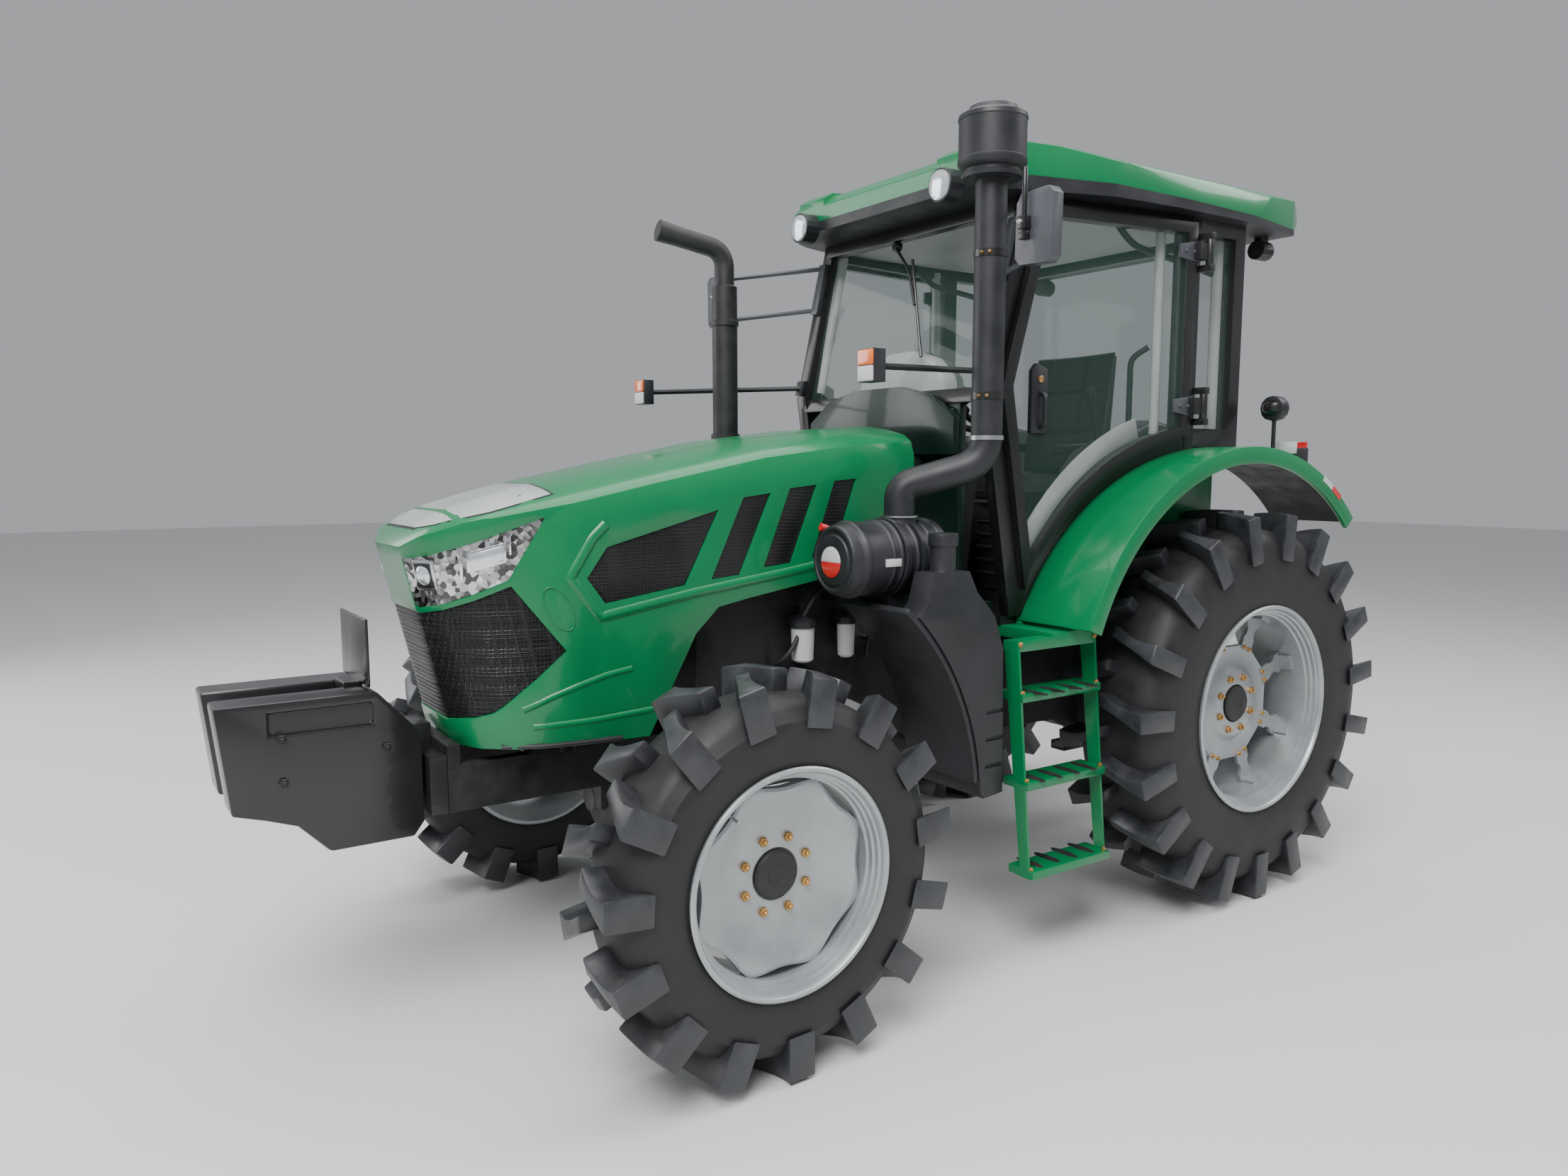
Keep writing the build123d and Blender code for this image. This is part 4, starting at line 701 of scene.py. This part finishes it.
made("intake_straps", CHASSIS, BLACK,
     *((hoop, 0.011, 0.0530, 0.050, 40, pointing((STACK.x, STACK.y, z), UP))
       for z in STRAP_HEIGHTS))
made("intake_strap_bolts", CHASSIS, BRASS,
     *((bolt, (STACK.x + 0.0258 + 0.866 * x, STACK.y - 0.0446 + 0.5 * x, z), (0.5, -0.866, 0),
        0.0055, 0.008) for z in STRAP_HEIGHTS for x in (-0.013, 0.013)))

stack = made(
    "intake_stack_pipe", CHASSIS, MOULDED,
    (tube, ((0.572, FA + 0.720, 1.5003), (0.572, FA + 0.720, 1.590), (STACK.x, STACK.y, 1.670),
            (STACK.x, STACK.y, 2.560)), 0.085, 0.0505, 32, 12),
    (turn, mm("2550 45, 2550 94, 2562 96, 2566 88, 2576 88, 2584 103, 2592 108, 2606 108.5, "
              "2609 106, 2722 106, 2725 108.5, 2738 107, 2746 94, 2752 80, 2764.5 74, 2764.5 0"),
     64, upright(STACK.x, STACK.y)))
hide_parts("intake_stack")

pipe = made(
    "exhaust_pipe", CHASSIS, CAST,
    (tube, ((-0.2553, EXHAUST_Y, 1.240), (EXHAUST_X, EXHAUST_Y, 1.240),
            (EXHAUST_X, EXHAUST_Y, 1.520)), 0.09, 0.037, 28, 10),
    (turn, mm("1500 36, 1508 49, 1745 49.5, 1747 57, 1783 57, 1785 49.5, 2200 49.5, 2203 54.5, "
              "2221 54.5, 2224 49.5, 2352 49, 2360 36"), 40, upright(EXHAUST_X, EXHAUST_Y)),
    (tube, ((EXHAUST_X, EXHAUST_Y, 2.350), (EXHAUST_X, EXHAUST_Y, 2.490),
            (-0.520, FA + 0.430, 2.545)), 0.10, 0.0375, 28, 10),
    (turn, mm("-60 38, 0 40.5, 0 36, -60 34"), 32,
     pointing((-0.520, FA + 0.432, 2.5445), (-0.145, -0.97, 0.2)), True))
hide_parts("exhaust")


# ---------------- lamps
FENDER_Y, FENDER_Z, FENDER_RADIUS = 1.230, 0.770, 0.960
TAIL_LAMP_Z = FENDER_Z + sqrt(FENDER_RADIUS ** 2 - 0.30 ** 2) + 0.012

for side_name, side in SIDES:
    for name, material, low, high in (("amber", ORANGE, 1.953, 1.998),
                                      ("clear", WHITE, 1.906, 1.951)):
        made(f"{side_name}_turn_lens_{name}", CHASSIS, material,
             (box, sorted((side * 0.699, side * 0.767)), (FA + 0.444, FA + 0.456), (low, high)),
             rounding=0.004, segments=3)
    for place, direction, radius, name in (
            ((side * 0.415, FA + 1.012, 2.602), FORWARD, 0.057, "work_front"),
            ((side * 0.585, FA + 2.640, 2.527), BACK, 0.037, "work_rear")):
        at = pointing(place, direction)
        made(f"{side_name}_{name}_ring", CHASSIS, MOULDED,
             (turn, ((-0.050, radius * 0.80), (-0.030, radius), (0.001, radius),
                     (0.003, radius - 0.002), (0.003, radius - 0.004), (-0.002, radius - 0.005),
                     (-0.040, radius * 0.6)), 40, at, True))
        inner = radius - 0.0045
        made(f"{side_name}_{name}_lens", CHASSIS, LENS,
             (turn, [(-0.010, 0), (-0.010, inner), (-0.002, inner),
                     *dome(0.002, 0.010, inner, (20, 45, 70))], 40, at))
    # mushroom lamp on its stalk
    made(f"{side_name}_stalk_lamp_head", CHASSIS, BLACK,
         (turn, mm("-34 0, -34 16, -26 30, -10 45.5, 4 47.5, 18 44, 30 28, 34 0"), 32,
          pointing((side * 0.800, FA + 2.420, 1.880), UP)))
    for name, material, y0, y1 in (("red", RED, 2.568, 2.574), ("pale", WHITE, 2.496, 2.502)):
        made(f"{side_name}_tail_lens_{name}", CHASSIS, material,
             (box, sorted((side * 0.748, side * 0.852)), (FA + y0, FA + y1),
              (TAIL_LAMP_Z + 0.012, TAIL_LAMP_Z + 0.058)), rounding=0.002)


# ---------------- hood details
HOOD = surface_of("hood_shell")


def along_hood(side, points, lift):
    """The places above the hood's side at (y, z), with y from the front axle, where it is met."""
    path = []
    for y, z in points:
        hit, normal = cast(HOOD, (side * 0.9, FA + y, z), (-side, 0, 0))
        if hit:
            path.append(hit + normal * lift)
    return path


def over_hood(x, y, lift):
    """A point above the hood's top at y from the front axle."""
    hit, normal = cast(HOOD, (x, FA + y, 2.4), DOWN)
    return hit + normal * lift


def divided(points, step):
    """Points along straight runs, no further than step apart."""
    out = []
    for (y0, z0), (y1, z1) in zip(points, points[1:]):
        count = max(1, int(sqrt((y1 - y0) ** 2 + (z1 - z0) ** 2) / step))
        out += [(mix(y0, y1, k / count), mix(z0, z1, k / count)) for k in range(count)]
    return out + [points[-1]]


# creases as (y, z), then the radius of each tube and how far it stands out of the hood
CREASES = (
    ("vent_crease", mm("-222 1490, -262 1452, -333 1337, -240 1218, 70 1272, 420 1318, 600 1345"),
     0.021, 0.0070),
    ("low_crease", mm("-467 958, -392 990, -313 1019, -227 1043, -145 1056"), 0.013, 0.0042),
    ("sill_crease", mm("-440 905, -250 912, -60 925"), 0.013, 0.0042),
    ("oval_crease", [(-0.367 + 0.030 * cos(pi * k / 12) - 0.035 * sin(pi * k / 12),
                      1.250 + 0.018 * cos(pi * k / 12) + 0.062 * sin(pi * k / 12))
                     for k in range(25)], 0.0022, 0.0027))
SEAL = [(y, 0.848) for y in (-0.52, -0.42, -0.30, -0.18, -0.06, 0.02)]
for side_name, side in SIDES:
    for name, line, radius, rise in CREASES:
        made(f"{side_name}_hood_{name}", "hood", GREEN,
             (sweep, along_hood(side, divided(line, 0.02), rise - radius), radius, 24))
    made(f"{side_name}_hood_seal", "hood", MOULDED, (sweep, along_hood(side, SEAL, 0.0), 0.008, 10))

# pale panel set in the front of the hood's top, as (y, half width), and the dark joint round it
PANEL = mm("-704 138, -672 205, -640 248, -600 276, -540 296, -470 303, -400 301, -357 294")
(front_y, front_half), (rear_y, rear_half) = PANEL[0], PANEL[-1]
for name, wider, lift, material in (("joint", 0.008, 0.0006, MOULDED),
                                    ("panel", 0.0, 0.0016, PANEL_SILVER)):
    bm = bmesh.new()
    rows = [ring_of(bm, [over_hood(mix(-half - wider, half + wider, k / 24), y, lift)
                         for k in range(25)])
            for y, half in ((front_y - wider, front_half), *PANEL, (rear_y + wider, rear_half))]
    for a, b in zip(rows, rows[1:]):
        for k in range(24):
            bm.faces.new((a[k], a[k + 1], b[k + 1], b[k]))
    add_piece(f"hood_top_{name}", bm, "hood", material, closed=False)

# headlamps: projector in front, clear panel behind it, and dark frames
LAMP = surface_of("headlamps")


def frame_on(tree, start, direction):
    """A matrix at the place where a ray meets a surface: X out of it, Z as upright as it can be."""
    hit, normal = cast(tree, start, direction)
    across = Vector(UP).cross(normal).normalized()
    up = normal.cross(across)
    return Matrix.Translation(hit) @ Matrix((normal, across, up)).transposed().to_4x4()


for side_name, side in SIDES:
    front = frame_on(LAMP, (side * 0.360, FA - 1.060, 1.374), (-side * 0.4, 0.89, -0.05))
    flank = frame_on(LAMP, (side * 0.560, FA - 0.650, 1.412), (-side * 0.93, 0.35, -0.02))
    for name, at, slant, material, rounding, plates in (
            ("projector_frame", front, 0.0, CHROME, 0.006,
             (mm("-43 43, -45 45, -10 4"),)),
            ("projector_bezel", front, 0.0, BLACK, 0.004,
             (mm("-34 34, -36 36, 2 5.5"),)),
            ("clear_panel", flank, 0.25, LENS, 0.004,
             (mm("-50 46, -24 20, -4 4"),)),
            ("panel_trim", flank, 0.25, CHROME, 0.002,
             (mm("-56 52, -31 27, -6 1.5"),
              mm("-75 -66, -48 30, -6 3"),
              mm("60 66, -12 40, -6 3")))):
        made(f"{side_name}_lamp_{name}", "hood", material,
             *((plate, rectangle(u, v), *w, placed_by(at, side * slant)) for u, v, w in plates),
             rounding=rounding)
    made(f"{side_name}_lamp_projector_lens", "hood", LENS,
         (turn, [(0.004, 0), (0.004, 0.028), (0.008, 0.028),
                 *dome(0.008, 0.009, 0.026, (15, 40, 65))], 32, front))


def strips(bm, tree, rows, depth):
    """Raised ribs laid along rows of rays wherever they meet a surface."""
    section = ((-0.002, -0.0018), (depth, -0.0012), (depth, 0.0012), (-0.002, 0.0018))
    for row in rows:
        run = []
        for ray in row + [None]:
            hit = cast(tree, *ray) if ray else (None, None)
            if hit[0]:
                run.append(hit)
                continue
            if len(run) > 2:
                loft(bm, [ring_of(bm, [p + n * lift + Vector((0, 0, rise))
                                       for lift, rise in section]) for p, n in run])
            run = []


turns = [radians(a) for a in range(-100, 101, 3)]
rows = [[((0.9 * sin(a), FA - 0.200 - 0.9 * cos(a), 0.930 + 0.0138 * k), (-sin(a), cos(a), 0))
         for a in turns] for k in range(33)]
made("grille_ribs", "hood", BLACK, (strips, surface_of("hood_grille"), rows, 0.0024))
VENTS = surface_of("hood_vents")
for side_name, side in SIDES:
    rows = [[((side * 0.9, FA - 0.30 + 0.0125 * i, 1.245 + 0.011 * k), (-side, 0, 0))
             for i in range(82)] for k in range(36)]
    made(f"{side_name}_vent_ribs", "hood", BLACK, (strips, VENTS, rows, 0.0016))


# ---------------- cab
def shield_y(z):
    """The windshield's front face at a height."""
    return 0.200 + (z - 1.930) * 0.128 / 0.595


def round_fender(radius, angles):
    """Points in (y, z) at a radius from the middle of the fenders."""
    return [(FENDER_Y + radius * cos(radians(a)), FENDER_Z + radius * sin(radians(a)))
            for a in angles]


made("headliner", CHASSIS, WHITE, (box, (-0.565, 0.565), (0.360, 1.330), (2.548, 2.566)),
     rounding=0.008, segments=3)
for side_name, side in SIDES:
    made(f"{side_name}_pillar_trim", CHASSIS, WHITE,
         (tube, [(side * 0.520, shield_y(z) + 0.045, z) for z in (1.960, 2.250, 2.530)], 0.02,
          0.021, 16),
         (tube, mirrored(side, mm("610 1350 1700, 610 1350 2530")), 0.02, 0.024, 16),
         (tube, mirrored(side, mm("618 985 1760, 618 985 2540")), 0.02, 0.018, 16))
    # curved trim along the foot of the side wall
    made(f"{side_name}_wall_trim", CHASSIS, WHITE,
         (plate, round_fender(1.110, range(106, 150, 4)) + round_fender(1.030, range(146, 102, -4)),
          side * 0.572, side * 0.584, facing_side), rounding=0.004)
    made(f"{side_name}_grab_rails", CHASSIS, MOULDED,
         (tube, mirrored(side, mm("600 960 1480, 545 930 1520, 545 930 2060, 600 960 2100")),
          0.03, 0.011, 14),
         (tube, mirrored(side, mm("600 1340 2400, 560 1180 2440, 560 900 2470, 560 800 2545")),
          0.06, 0.012, 14))
    made(f"{side_name}_side_console", CHASSIS, GREY,
         (plate, mm("800 1135, 1330 1135, 1330 1820, 1180 1840, 860 1720, 780 1640"),
          side * 0.330, side * 0.470, facing_side), rounding=0.020, segments=3)
KNOB = mm("1915 0, 1915 12, 1930 19, 1950 18, 1962 8, 1964 0")
bm = bmesh.new()
for x, y, lean in mm("-360 900 -50, -400 960 -30, -440 1020 -20, 400 940 -40"):
    top_y = y + 1.5 * lean
    tube(bm, ((x, y, 1.680), (x, y + lean, 1.860), (x, top_y, 1.930)), 0.05, 0.007, 12)
    turn(bm, KNOB, 20, upright(x, top_y))
add_piece("control_levers", bm, CHASSIS, MOULDED)

# instrument hood and its gauge cluster
DOME = mm("192 1745, 254 1880, 249 1983, 172 2055, 70 2091")
made("instrument_hood", CHASSIS, WHITE,
     (plate, [*DOME, *((-x, z) for x, z in reversed(DOME))], 0.2475, 0.334, facing_front),
     rounding=0.022, segments=4)
made("gauges", CHASSIS, BLACK,
     *((turn, mm("-10 0, -10 52, 4 54, 8 50, 8 0"), 40,
        pointing((x, 0.366, 1.965), (0, 1, 0.25))) for x in (0.075, -0.075)))

# steering wheel on its column
WHEEL_RADIUS, GRIP_RADIUS = 0.181, 0.0135
wheel_at = Matrix.Translation((0, FA + 1.500, 1.880)) @ Matrix.Rotation(radians(-30), 4, "X")
middle = wheel_at @ Vector((0, 0, 0.012))
up = (wheel_at.to_3x3() @ Vector(UP)).normalized()
bm = bmesh.new()
rings = []
for c, s in circle(64):
    place = wheel_at @ Vector((WHEEL_RADIUS * c, WHEEL_RADIUS * s, 0.012))
    outward = (place - middle).normalized()
    rings.append(ring_of(bm, [place + GRIP_RADIUS * (outward * cosine + up * sine)
                              for cosine, sine in circle(14)]))
bridge(bm, rings, loop=True)
for angle in (90, 210, 330):
    c, s = cos(radians(angle)), sin(radians(angle))
    sweep(bm, [wheel_at @ Vector((r * c, r * s, h))
               for r, h in mm("30 4, 100 6, 176 12")], 0.013, 12)
hub_at = wheel_at @ Matrix.Rotation(radians(-90), 4, "Y")
turn(bm, mm("-4 0, -4 44, 16 44, 23 34, 24 0"), 32, hub_at)
turn(bm, mm("-219 0, -219 25, -50 25, -30 34, 0 36, 0 0"),
     24, hub_at)
wheel = add_piece("steering_wheel_rim", bm, CHASSIS, MOULDED)
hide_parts("steering_wheel")

CHANNEL_DEPTH, CHANNEL_REACH = 0.013, 0.035


def cushion(name, at, width, length, thick, channels, crown):
    """A padded cushion: a crowned closed form with pinched sides, sewn channels and piping.

    A channel is its place, from -1 to 1, and whether it runs along the cushion.
    """
    across, along = 40, 44

    def point(i, j, is_top):
        u, v = 2 * i / across - 1, 2 * j / along - 1
        full = max(0.0, (1 - abs(u) ** 7) * (1 - abs(v) ** 7)) ** 0.40
        pull = 1 - 0.022 * (1 - v * v) * abs(u) ** 6
        pinch = 1 - 0.018 * (1 - u * u) * abs(v) ** 6
        height = thick / 2 * full
        if is_top:
            height += crown * (1 - u * u) * (1 - v * v)
            for where, runs_along in channels:
                gap = (u if runs_along else v) - where
                height -= CHANNEL_DEPTH * full * 2.718 ** (-(gap / CHANNEL_REACH) ** 2)
        return at @ Vector((u * width / 2 * pull, v * length / 2 * pinch,
                            height if is_top else -height))

    bm = bmesh.new()
    top = [ring_of(bm, [point(i, j, True) for i in range(across + 1)]) for j in range(along + 1)]
    low = [[top[j][i] if i in (0, across) or j in (0, along)
            else bm.verts.new(point(i, j, False)) for i in range(across + 1)]
           for j in range(along + 1)]
    for rows in (top, low):
        for j in range(along):
            for i in range(across):
                corners = (rows[j][i], rows[j][i + 1], rows[j + 1][i + 1], rows[j + 1][i])
                if rows is top or not bm.faces.get(corners):
                    bm.faces.new(corners)
    border = (top[0] + [row[-1] for row in top[1:]] + top[-1][-2::-1]
              + [row[0] for row in top[-2:0:-1]] + top[0][:1])
    seam = [v.co.copy() for v in border]
    piece = add_piece(name, bm, CHASSIS, SEAT)
    made(f"{name}_piping", CHASSIS, GREY, (sweep, seam, 0.0035, 8))
    return piece


def tilted(y, z, degrees):
    """A matrix in the middle of the cab, y from the front axle, tilted about X."""
    return Matrix.Translation((0, FA + y, z)) @ Matrix.Rotation(radians(degrees), 4, "X")


base = cushion("seat_cushion", tilted(1.875, 1.565, 3), 0.440, 0.400, 0.095,
               ((-0.5, True), (0.5, True), (0.0, False)), 0.014)
back = cushion("seat_back", tilted(2.145, 1.880, 81), 0.420, 0.500, 0.085,
               ((-0.5, True), (0.5, True), (-0.35, False), (0.3, False)), 0.010)
shell = made(
    "seat_shell", CHASSIS, MOULDED,
    (plate, mm("1690 1502, 2175 1502, 2228 2120, 2190 2120, 2130 1560, 1700 1528"),
     -0.190, 0.190, facing_side_from_axle),
    (box, (-0.158, 0.158), (FA + 1.782, FA + 1.923), (1.1304, 1.506)),
    *((box, (-0.168, 0.168), (FA + 1.772, FA + 1.933), (z, z + 0.022))
      for z in (1.190 + 0.055 * k for k in range(5))),
    rounding=0.008, segments=3)
for side_name, side in SIDES:
    made(f"{side_name}_arm_rest", CHASSIS, MOULDED,
         (plate, mm("1830 1700, 2120 1720, 2120 1760, 1830 1745"), side * 0.190,
          side * 0.232, facing_side_from_axle), rounding=0.012, segments=3)
for piece in (shell, base, back):
    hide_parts("seat")

# wiper, door handles, hinge brackets and mirrors
made("wiper", CHASSIS, BLACK,
     (tube, [(x, shield_y(z) - 0.016, z)
             for x, z in mm("-100 2505, 10 2400, 80 2260")], 0.04, 0.006, 12),
     (sweep, [Vector((x, shield_y(z) - 0.007, z))
              for x, z in mm("10 2440, 80 2260, 160 2060")], 0.0055, 10),
     (turn, mm("-4 0, -4 20, 16 20, 22 12, 22 0"), 24,
      pointing((-0.100, shield_y(2.505), 2.505), (0, -1, 0.2))))
MIRROR_X, MIRROR_Z = 0.930, 2.368
MIRROR_OUTLINE = mm("-64 72, -48 97, 50 100, 66 84, 62 -86, 46 -99, -46 -96, -67 -78")
for side_name, side in SIDES:
    door, outwards = f"{side_name}_door", (side, 0, 0)

    def on_door(y, z, out):
        """A point outside a door's glass."""
        return Vector((side * (0.6095 + 0.139 * (y - 0.358) + out), y, z))

    made(f"{side_name}_door_handle", door, MOULDED,
         (plate, mm("325 1770, 395 1770, 395 1990, 345 2010, 325 1985"),
          -0.004, 0.016, on_door),
         (tube, [on_door(0.362, z, out) for z, out in mm("1790 10, 1800 40, 1900 40, 1910 10")],
          0.02, 0.009, 12), rounding=0.004)
    made(f"{side_name}_door_lock", door, BRASS,
         (turn, mm("-4 0, -4 12, 8 12, 10 9, 10 0"), 20,
          pointing(on_door(0.360, 1.955, 0.014), outwards)))
    for z, name in ((1.880, "low"), (2.440, "high")):
        made(f"{side_name}_hinge_plate_{name}", door, GREY,
             (plate, ((0.985, z - 0.024), (1.075, z - 0.038), (1.075, z + 0.038),
                      (0.985, z + 0.024)), 0.001, 0.013, on_door),
             *((bolt, on_door(y, z, 0.012), outwards, 0.008, 0.005) for y in (1.010, 1.050)),
             rounding=0.002)
    # mirror glass on the back of each head
    made(f"{side_name}_mirror_glass", CHASSIS, MIRROR,
         (plate, MIRROR_OUTLINE, 0.031, 0.0345,
          lambda u, v, w: Vector((side * (MIRROR_X + u), w, MIRROR_Z + v))), rounding=0.001)
    # upright rod and clamp on its front
    post = Vector((side * 0.903, -0.026, MIRROR_Z))
    made(f"{side_name}_mirror_clamp", CHASSIS, BLACK,
         (sweep, (post + Vector((0, 0, -0.030)), post + Vector((0, 0, 0.175))), 0.0085, 16),
         *((box, (post.x - half, post.x + half), (post.y - front, -0.008),
            (post.z + low, post.z + high))
           for half, front, low, high in ((0.016, 0.014, -0.004, 0.034),
                                          (0.013, 0.011, -0.034, -0.014))), rounding=0.002)
    made(f"{side_name}_mirror_clamp_bolt", CHASSIS, STEEL,
         (bolt, (post.x, post.y - 0.014, post.z + 0.015), FORWARD, 0.0075, 0.009))


# ---------------- roof shade skirt
# dark layer round the roof's lower edge: painted shade on its down-slanting faces and underside,
# with a dark lining under the edge; a slice of the roof's own shape, lower towards the back
SHADE_SKIRT_FRONT = Vector((0, 0.130, 2.626))
SHADE_SKIRT_FALL, SHADE_SKIRT_OUT, SHADE_SKIRT_UNDER = 0.020, 0.0015, 0.0008
roof = nodes["cab_roof"]
bm = bmesh.new()
bm.from_mesh(roof.data)
bm.transform(roof.matrix_world)
bmesh.ops.remove_doubles(bm, verts=bm.verts, dist=1e-5)
bmesh.ops.bisect_plane(bm, geom=bm.verts[:] + bm.edges[:] + bm.faces[:], plane_co=SHADE_SKIRT_FRONT,
                       plane_no=(0, SHADE_SKIRT_FALL, 1), clear_outer=True)
roof_low = min(v.co.z for v in bm.verts)
bmesh.ops.holes_fill(bm, edges=[e for e in bm.edges if e.is_boundary])
bmesh.ops.recalc_face_normals(bm, faces=bm.faces)
bm.normal_update()
outward = {}
for v in bm.verts:
    level = Vector((0, 0, 0))
    for face in v.link_faces:
        if abs(face.normal.z) < 0.95:
            level += Vector((face.normal.x, face.normal.y, 0)).normalized()
    outward[v] = level.normalized() if level.length > 0.1 else level
for v, level in outward.items():
    v.co += SHADE_SKIRT_OUT * level
    if v.co.z < roof_low + 0.001:
        v.co.z -= SHADE_SKIRT_UNDER
# the roof's lower edge in black: painted shade, with the dark lining under the edge
add_piece("roof_shade_skirt", bm, CHASSIS, MOULDED)


# ---------------- fenders, steps and body trim
def fender_strip(bm, side, section, angles):
    """A strip with a section of (across, radius) points, laid round the fender."""
    loft(bm, [ring_of(bm, [Vector((side * x, FENDER_Y + r * cos(radians(a)),
                                   FENDER_Z + r * sin(radians(a)))) for x, r in section])
              for a in angles])


STEPS = surface_of("steps")
step_low, step_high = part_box("steps")
STEP_SLOT = [(0.058 * cos(pi * i / 10), 0.017 * sin(pi * i / 10)) for i in range(20)]
for side_name, side in SIDES:
    # a dark strip over the fender's underside: painted shade under the fender
    made(f"{side_name}_fender_underside_shade", CHASSIS, CAST,
         (fender_strip, side, mm("563 933.5, 899 933.5, 899 926, 563 926"),
          [mix(158.5, 45.5, k / 48) for k in range(49)]))
    for name, low, high, material in (("white", 57.5, 62.0, WHITE), ("red", 53.0, 57.5, RED)):
        made(f"{side_name}_fender_mark_{name}", CHASSIS, material,
             (fender_strip, side, mm("830 961.5, 903.5 961.5, 903.5 940, 900 940, 900 958.5, "
                                     "830 958.5"),
              (low, mix(low, high, 0.5), high)))
    bm = bmesh.new()
    for y in (step_low[1] + 0.010, step_high[1] - 0.010):
        for z in (0.330, 0.625, 0.915, 1.075):
            hit, normal = cast(STEPS, (side * 1.2, y, z), (-side, 0, 0))
            if hit and abs(hit.x) > 0.75:
                bolt(bm, hit, normal, 0.009, 0.006)
    add_piece(f"{side_name}_step_bolts", bm, CHASSIS, BRASS)
    # black ovals for the slots in the step treads: painted shade in the openings
    bm = bmesh.new()
    for z in (0.315, 0.610, 0.900):
        for k in range(4):
            y = mix(step_low[1], step_high[1], (k + 0.75) / 4.5)
            hit, _ = cast(STEPS, (side * (step_high[0] - 0.075), y, z + 0.12), DOWN)
            if hit and abs(hit.z - z) < 0.06:
                plate(bm, STEP_SLOT, -0.002, 0.0012, lambda u, v, w: hit + Vector((u, v, w)))
    add_piece(f"{side_name}_step_slots", bm, CHASSIS, CAST)

# fuel filters, lines and a pump on the engine's left flank
FILTER_X = 0.310
FILTERS = ((-0.418, 0.040), (-0.235, 0.031))
made("fuel_filters", CHASSIS, WHITE,
     *((turn, ((1.000, 0), (1.000, radius * 0.6), (1.008, radius * 0.92), (1.110, radius),
               (1.122, radius), (1.124, radius * 0.7), (1.124, 0)), 32, upright(FILTER_X, y))
       for y, radius in FILTERS))
bm = bmesh.new()
for y, radius in FILTERS:
    turn(bm, ((1.118, 0), (1.118, radius * 1.1), (1.140, radius * 1.1), (1.146, radius * 0.8),
              (1.160, 0)), 28, upright(FILTER_X, y))
    box(bm, (0.250, 0.300), (y - 0.020, y + 0.020), (1.115, 1.160))
for path in ("310 -418 1150, 330 -380 1230, 300 -300 1260, 250 -250 1200",
             "310 -235 1150, 340 -200 1220, 330 -140 1120, 250 -100 980",
             "250 -520 980, 330 -500 1020, 330 -440 1100, 250 -400 1180"):
    tube(bm, mm(path), 0.06, 0.008, 12)
turn(bm, mm("-110 0, -110 40, -60 52, 60 52, 110 38, 110 0"), 28,
     pointing((0.290, -0.470, 0.930), BACK))
add_piece("engine_lines", bm, CHASSIS, MOULDED)

# bolts on the weights
WEIGHTS = surface_of("front_weights")
low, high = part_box("front_weights")
bm = bmesh.new()
for _, side in SIDES:
    for y, z in ((low[1] + 0.16, high[2] - 0.10), (low[1] + 0.16, high[2] - 0.22),
                 (high[1] - 0.10, high[2] - 0.16)):
        hit, _ = cast(WEIGHTS, (side * 1.5, y, z), (-side, 0, 0))
        if hit:
            bolt(bm, hit, (side, 0, 0), 0.013, 0.010)
add_piece("weight_bolts", bm, CHASSIS, CAST)

# ---------------- floor, lights and camera
bpy.ops.mesh.primitive_plane_add(size=60, location=(0, 0, -0.001))
floor = bpy.context.object
floor.name = "floor"
floor.data.materials.append(
    new_material("floor_pale", None, Base_Color=(0.72, 0.72, 0.71, 1), Roughness=0.6)[0])
floor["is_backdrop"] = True

world = bpy.data.worlds.new("studio")
bpy.context.scene.world = world
world.use_nodes = True
feed(world.node_tree, world.node_tree.nodes["Background"], Color=(0.92, 0.95, 1.0, 1),
     Strength=0.44)


def area_light(name, place, target, size, power):
    data = bpy.data.lights.new(name, "AREA")
    data.shape = "RECTANGLE"
    data.size, data.size_y = size
    data.energy = power
    light = bpy.data.objects.new(name, data)
    bpy.context.scene.collection.objects.link(light)
    light.location = place
    light.rotation_mode = "QUATERNION"
    light.rotation_quaternion = (Vector(target) - Vector(place)).to_track_quat("-Z", "Y")


area_light("key", (4.2, -4.6, 7.5), (0, -0.2, 1.2), (4.5, 4.5), 850)
area_light("top", (0, 0, 7.5), (0, 0, 0), (7, 7), 430)
area_light("fill", (-6.0, -5.0, 3.5), (0, -0.5, 1.2), (4, 4), 170)
area_light("back", (3.0, 6.0, 7.0), (0, 0.5, 1.4), (4, 4), 260)

SENSOR_WIDTH, FRAME_WIDTH = 36, 2212
camera_data = bpy.data.cameras.new("camera")
camera_data.sensor_width = SENSOR_WIDTH
camera_data.lens = 1560.9 / FRAME_WIDTH * SENSOR_WIDTH
camera_data.shift_x = -(1113.2 - 1106) / FRAME_WIDTH
camera_data.shift_y = (844.2 - 829.5) / FRAME_WIDTH
camera = bpy.data.objects.new("camera", camera_data)
bpy.context.scene.collection.objects.link(camera)
azimuth, elevation = radians(55.667), radians(6.868)
aim = Vector((-sin(azimuth) * cos(elevation), cos(azimuth) * cos(elevation), -sin(elevation)))
camera.location = (3.336, -2.540, 1.661)
camera.rotation_mode = "QUATERNION"
camera.rotation_quaternion = aim.to_track_quat("-Z", "Y")
bpy.context.scene.camera = camera

low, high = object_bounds()
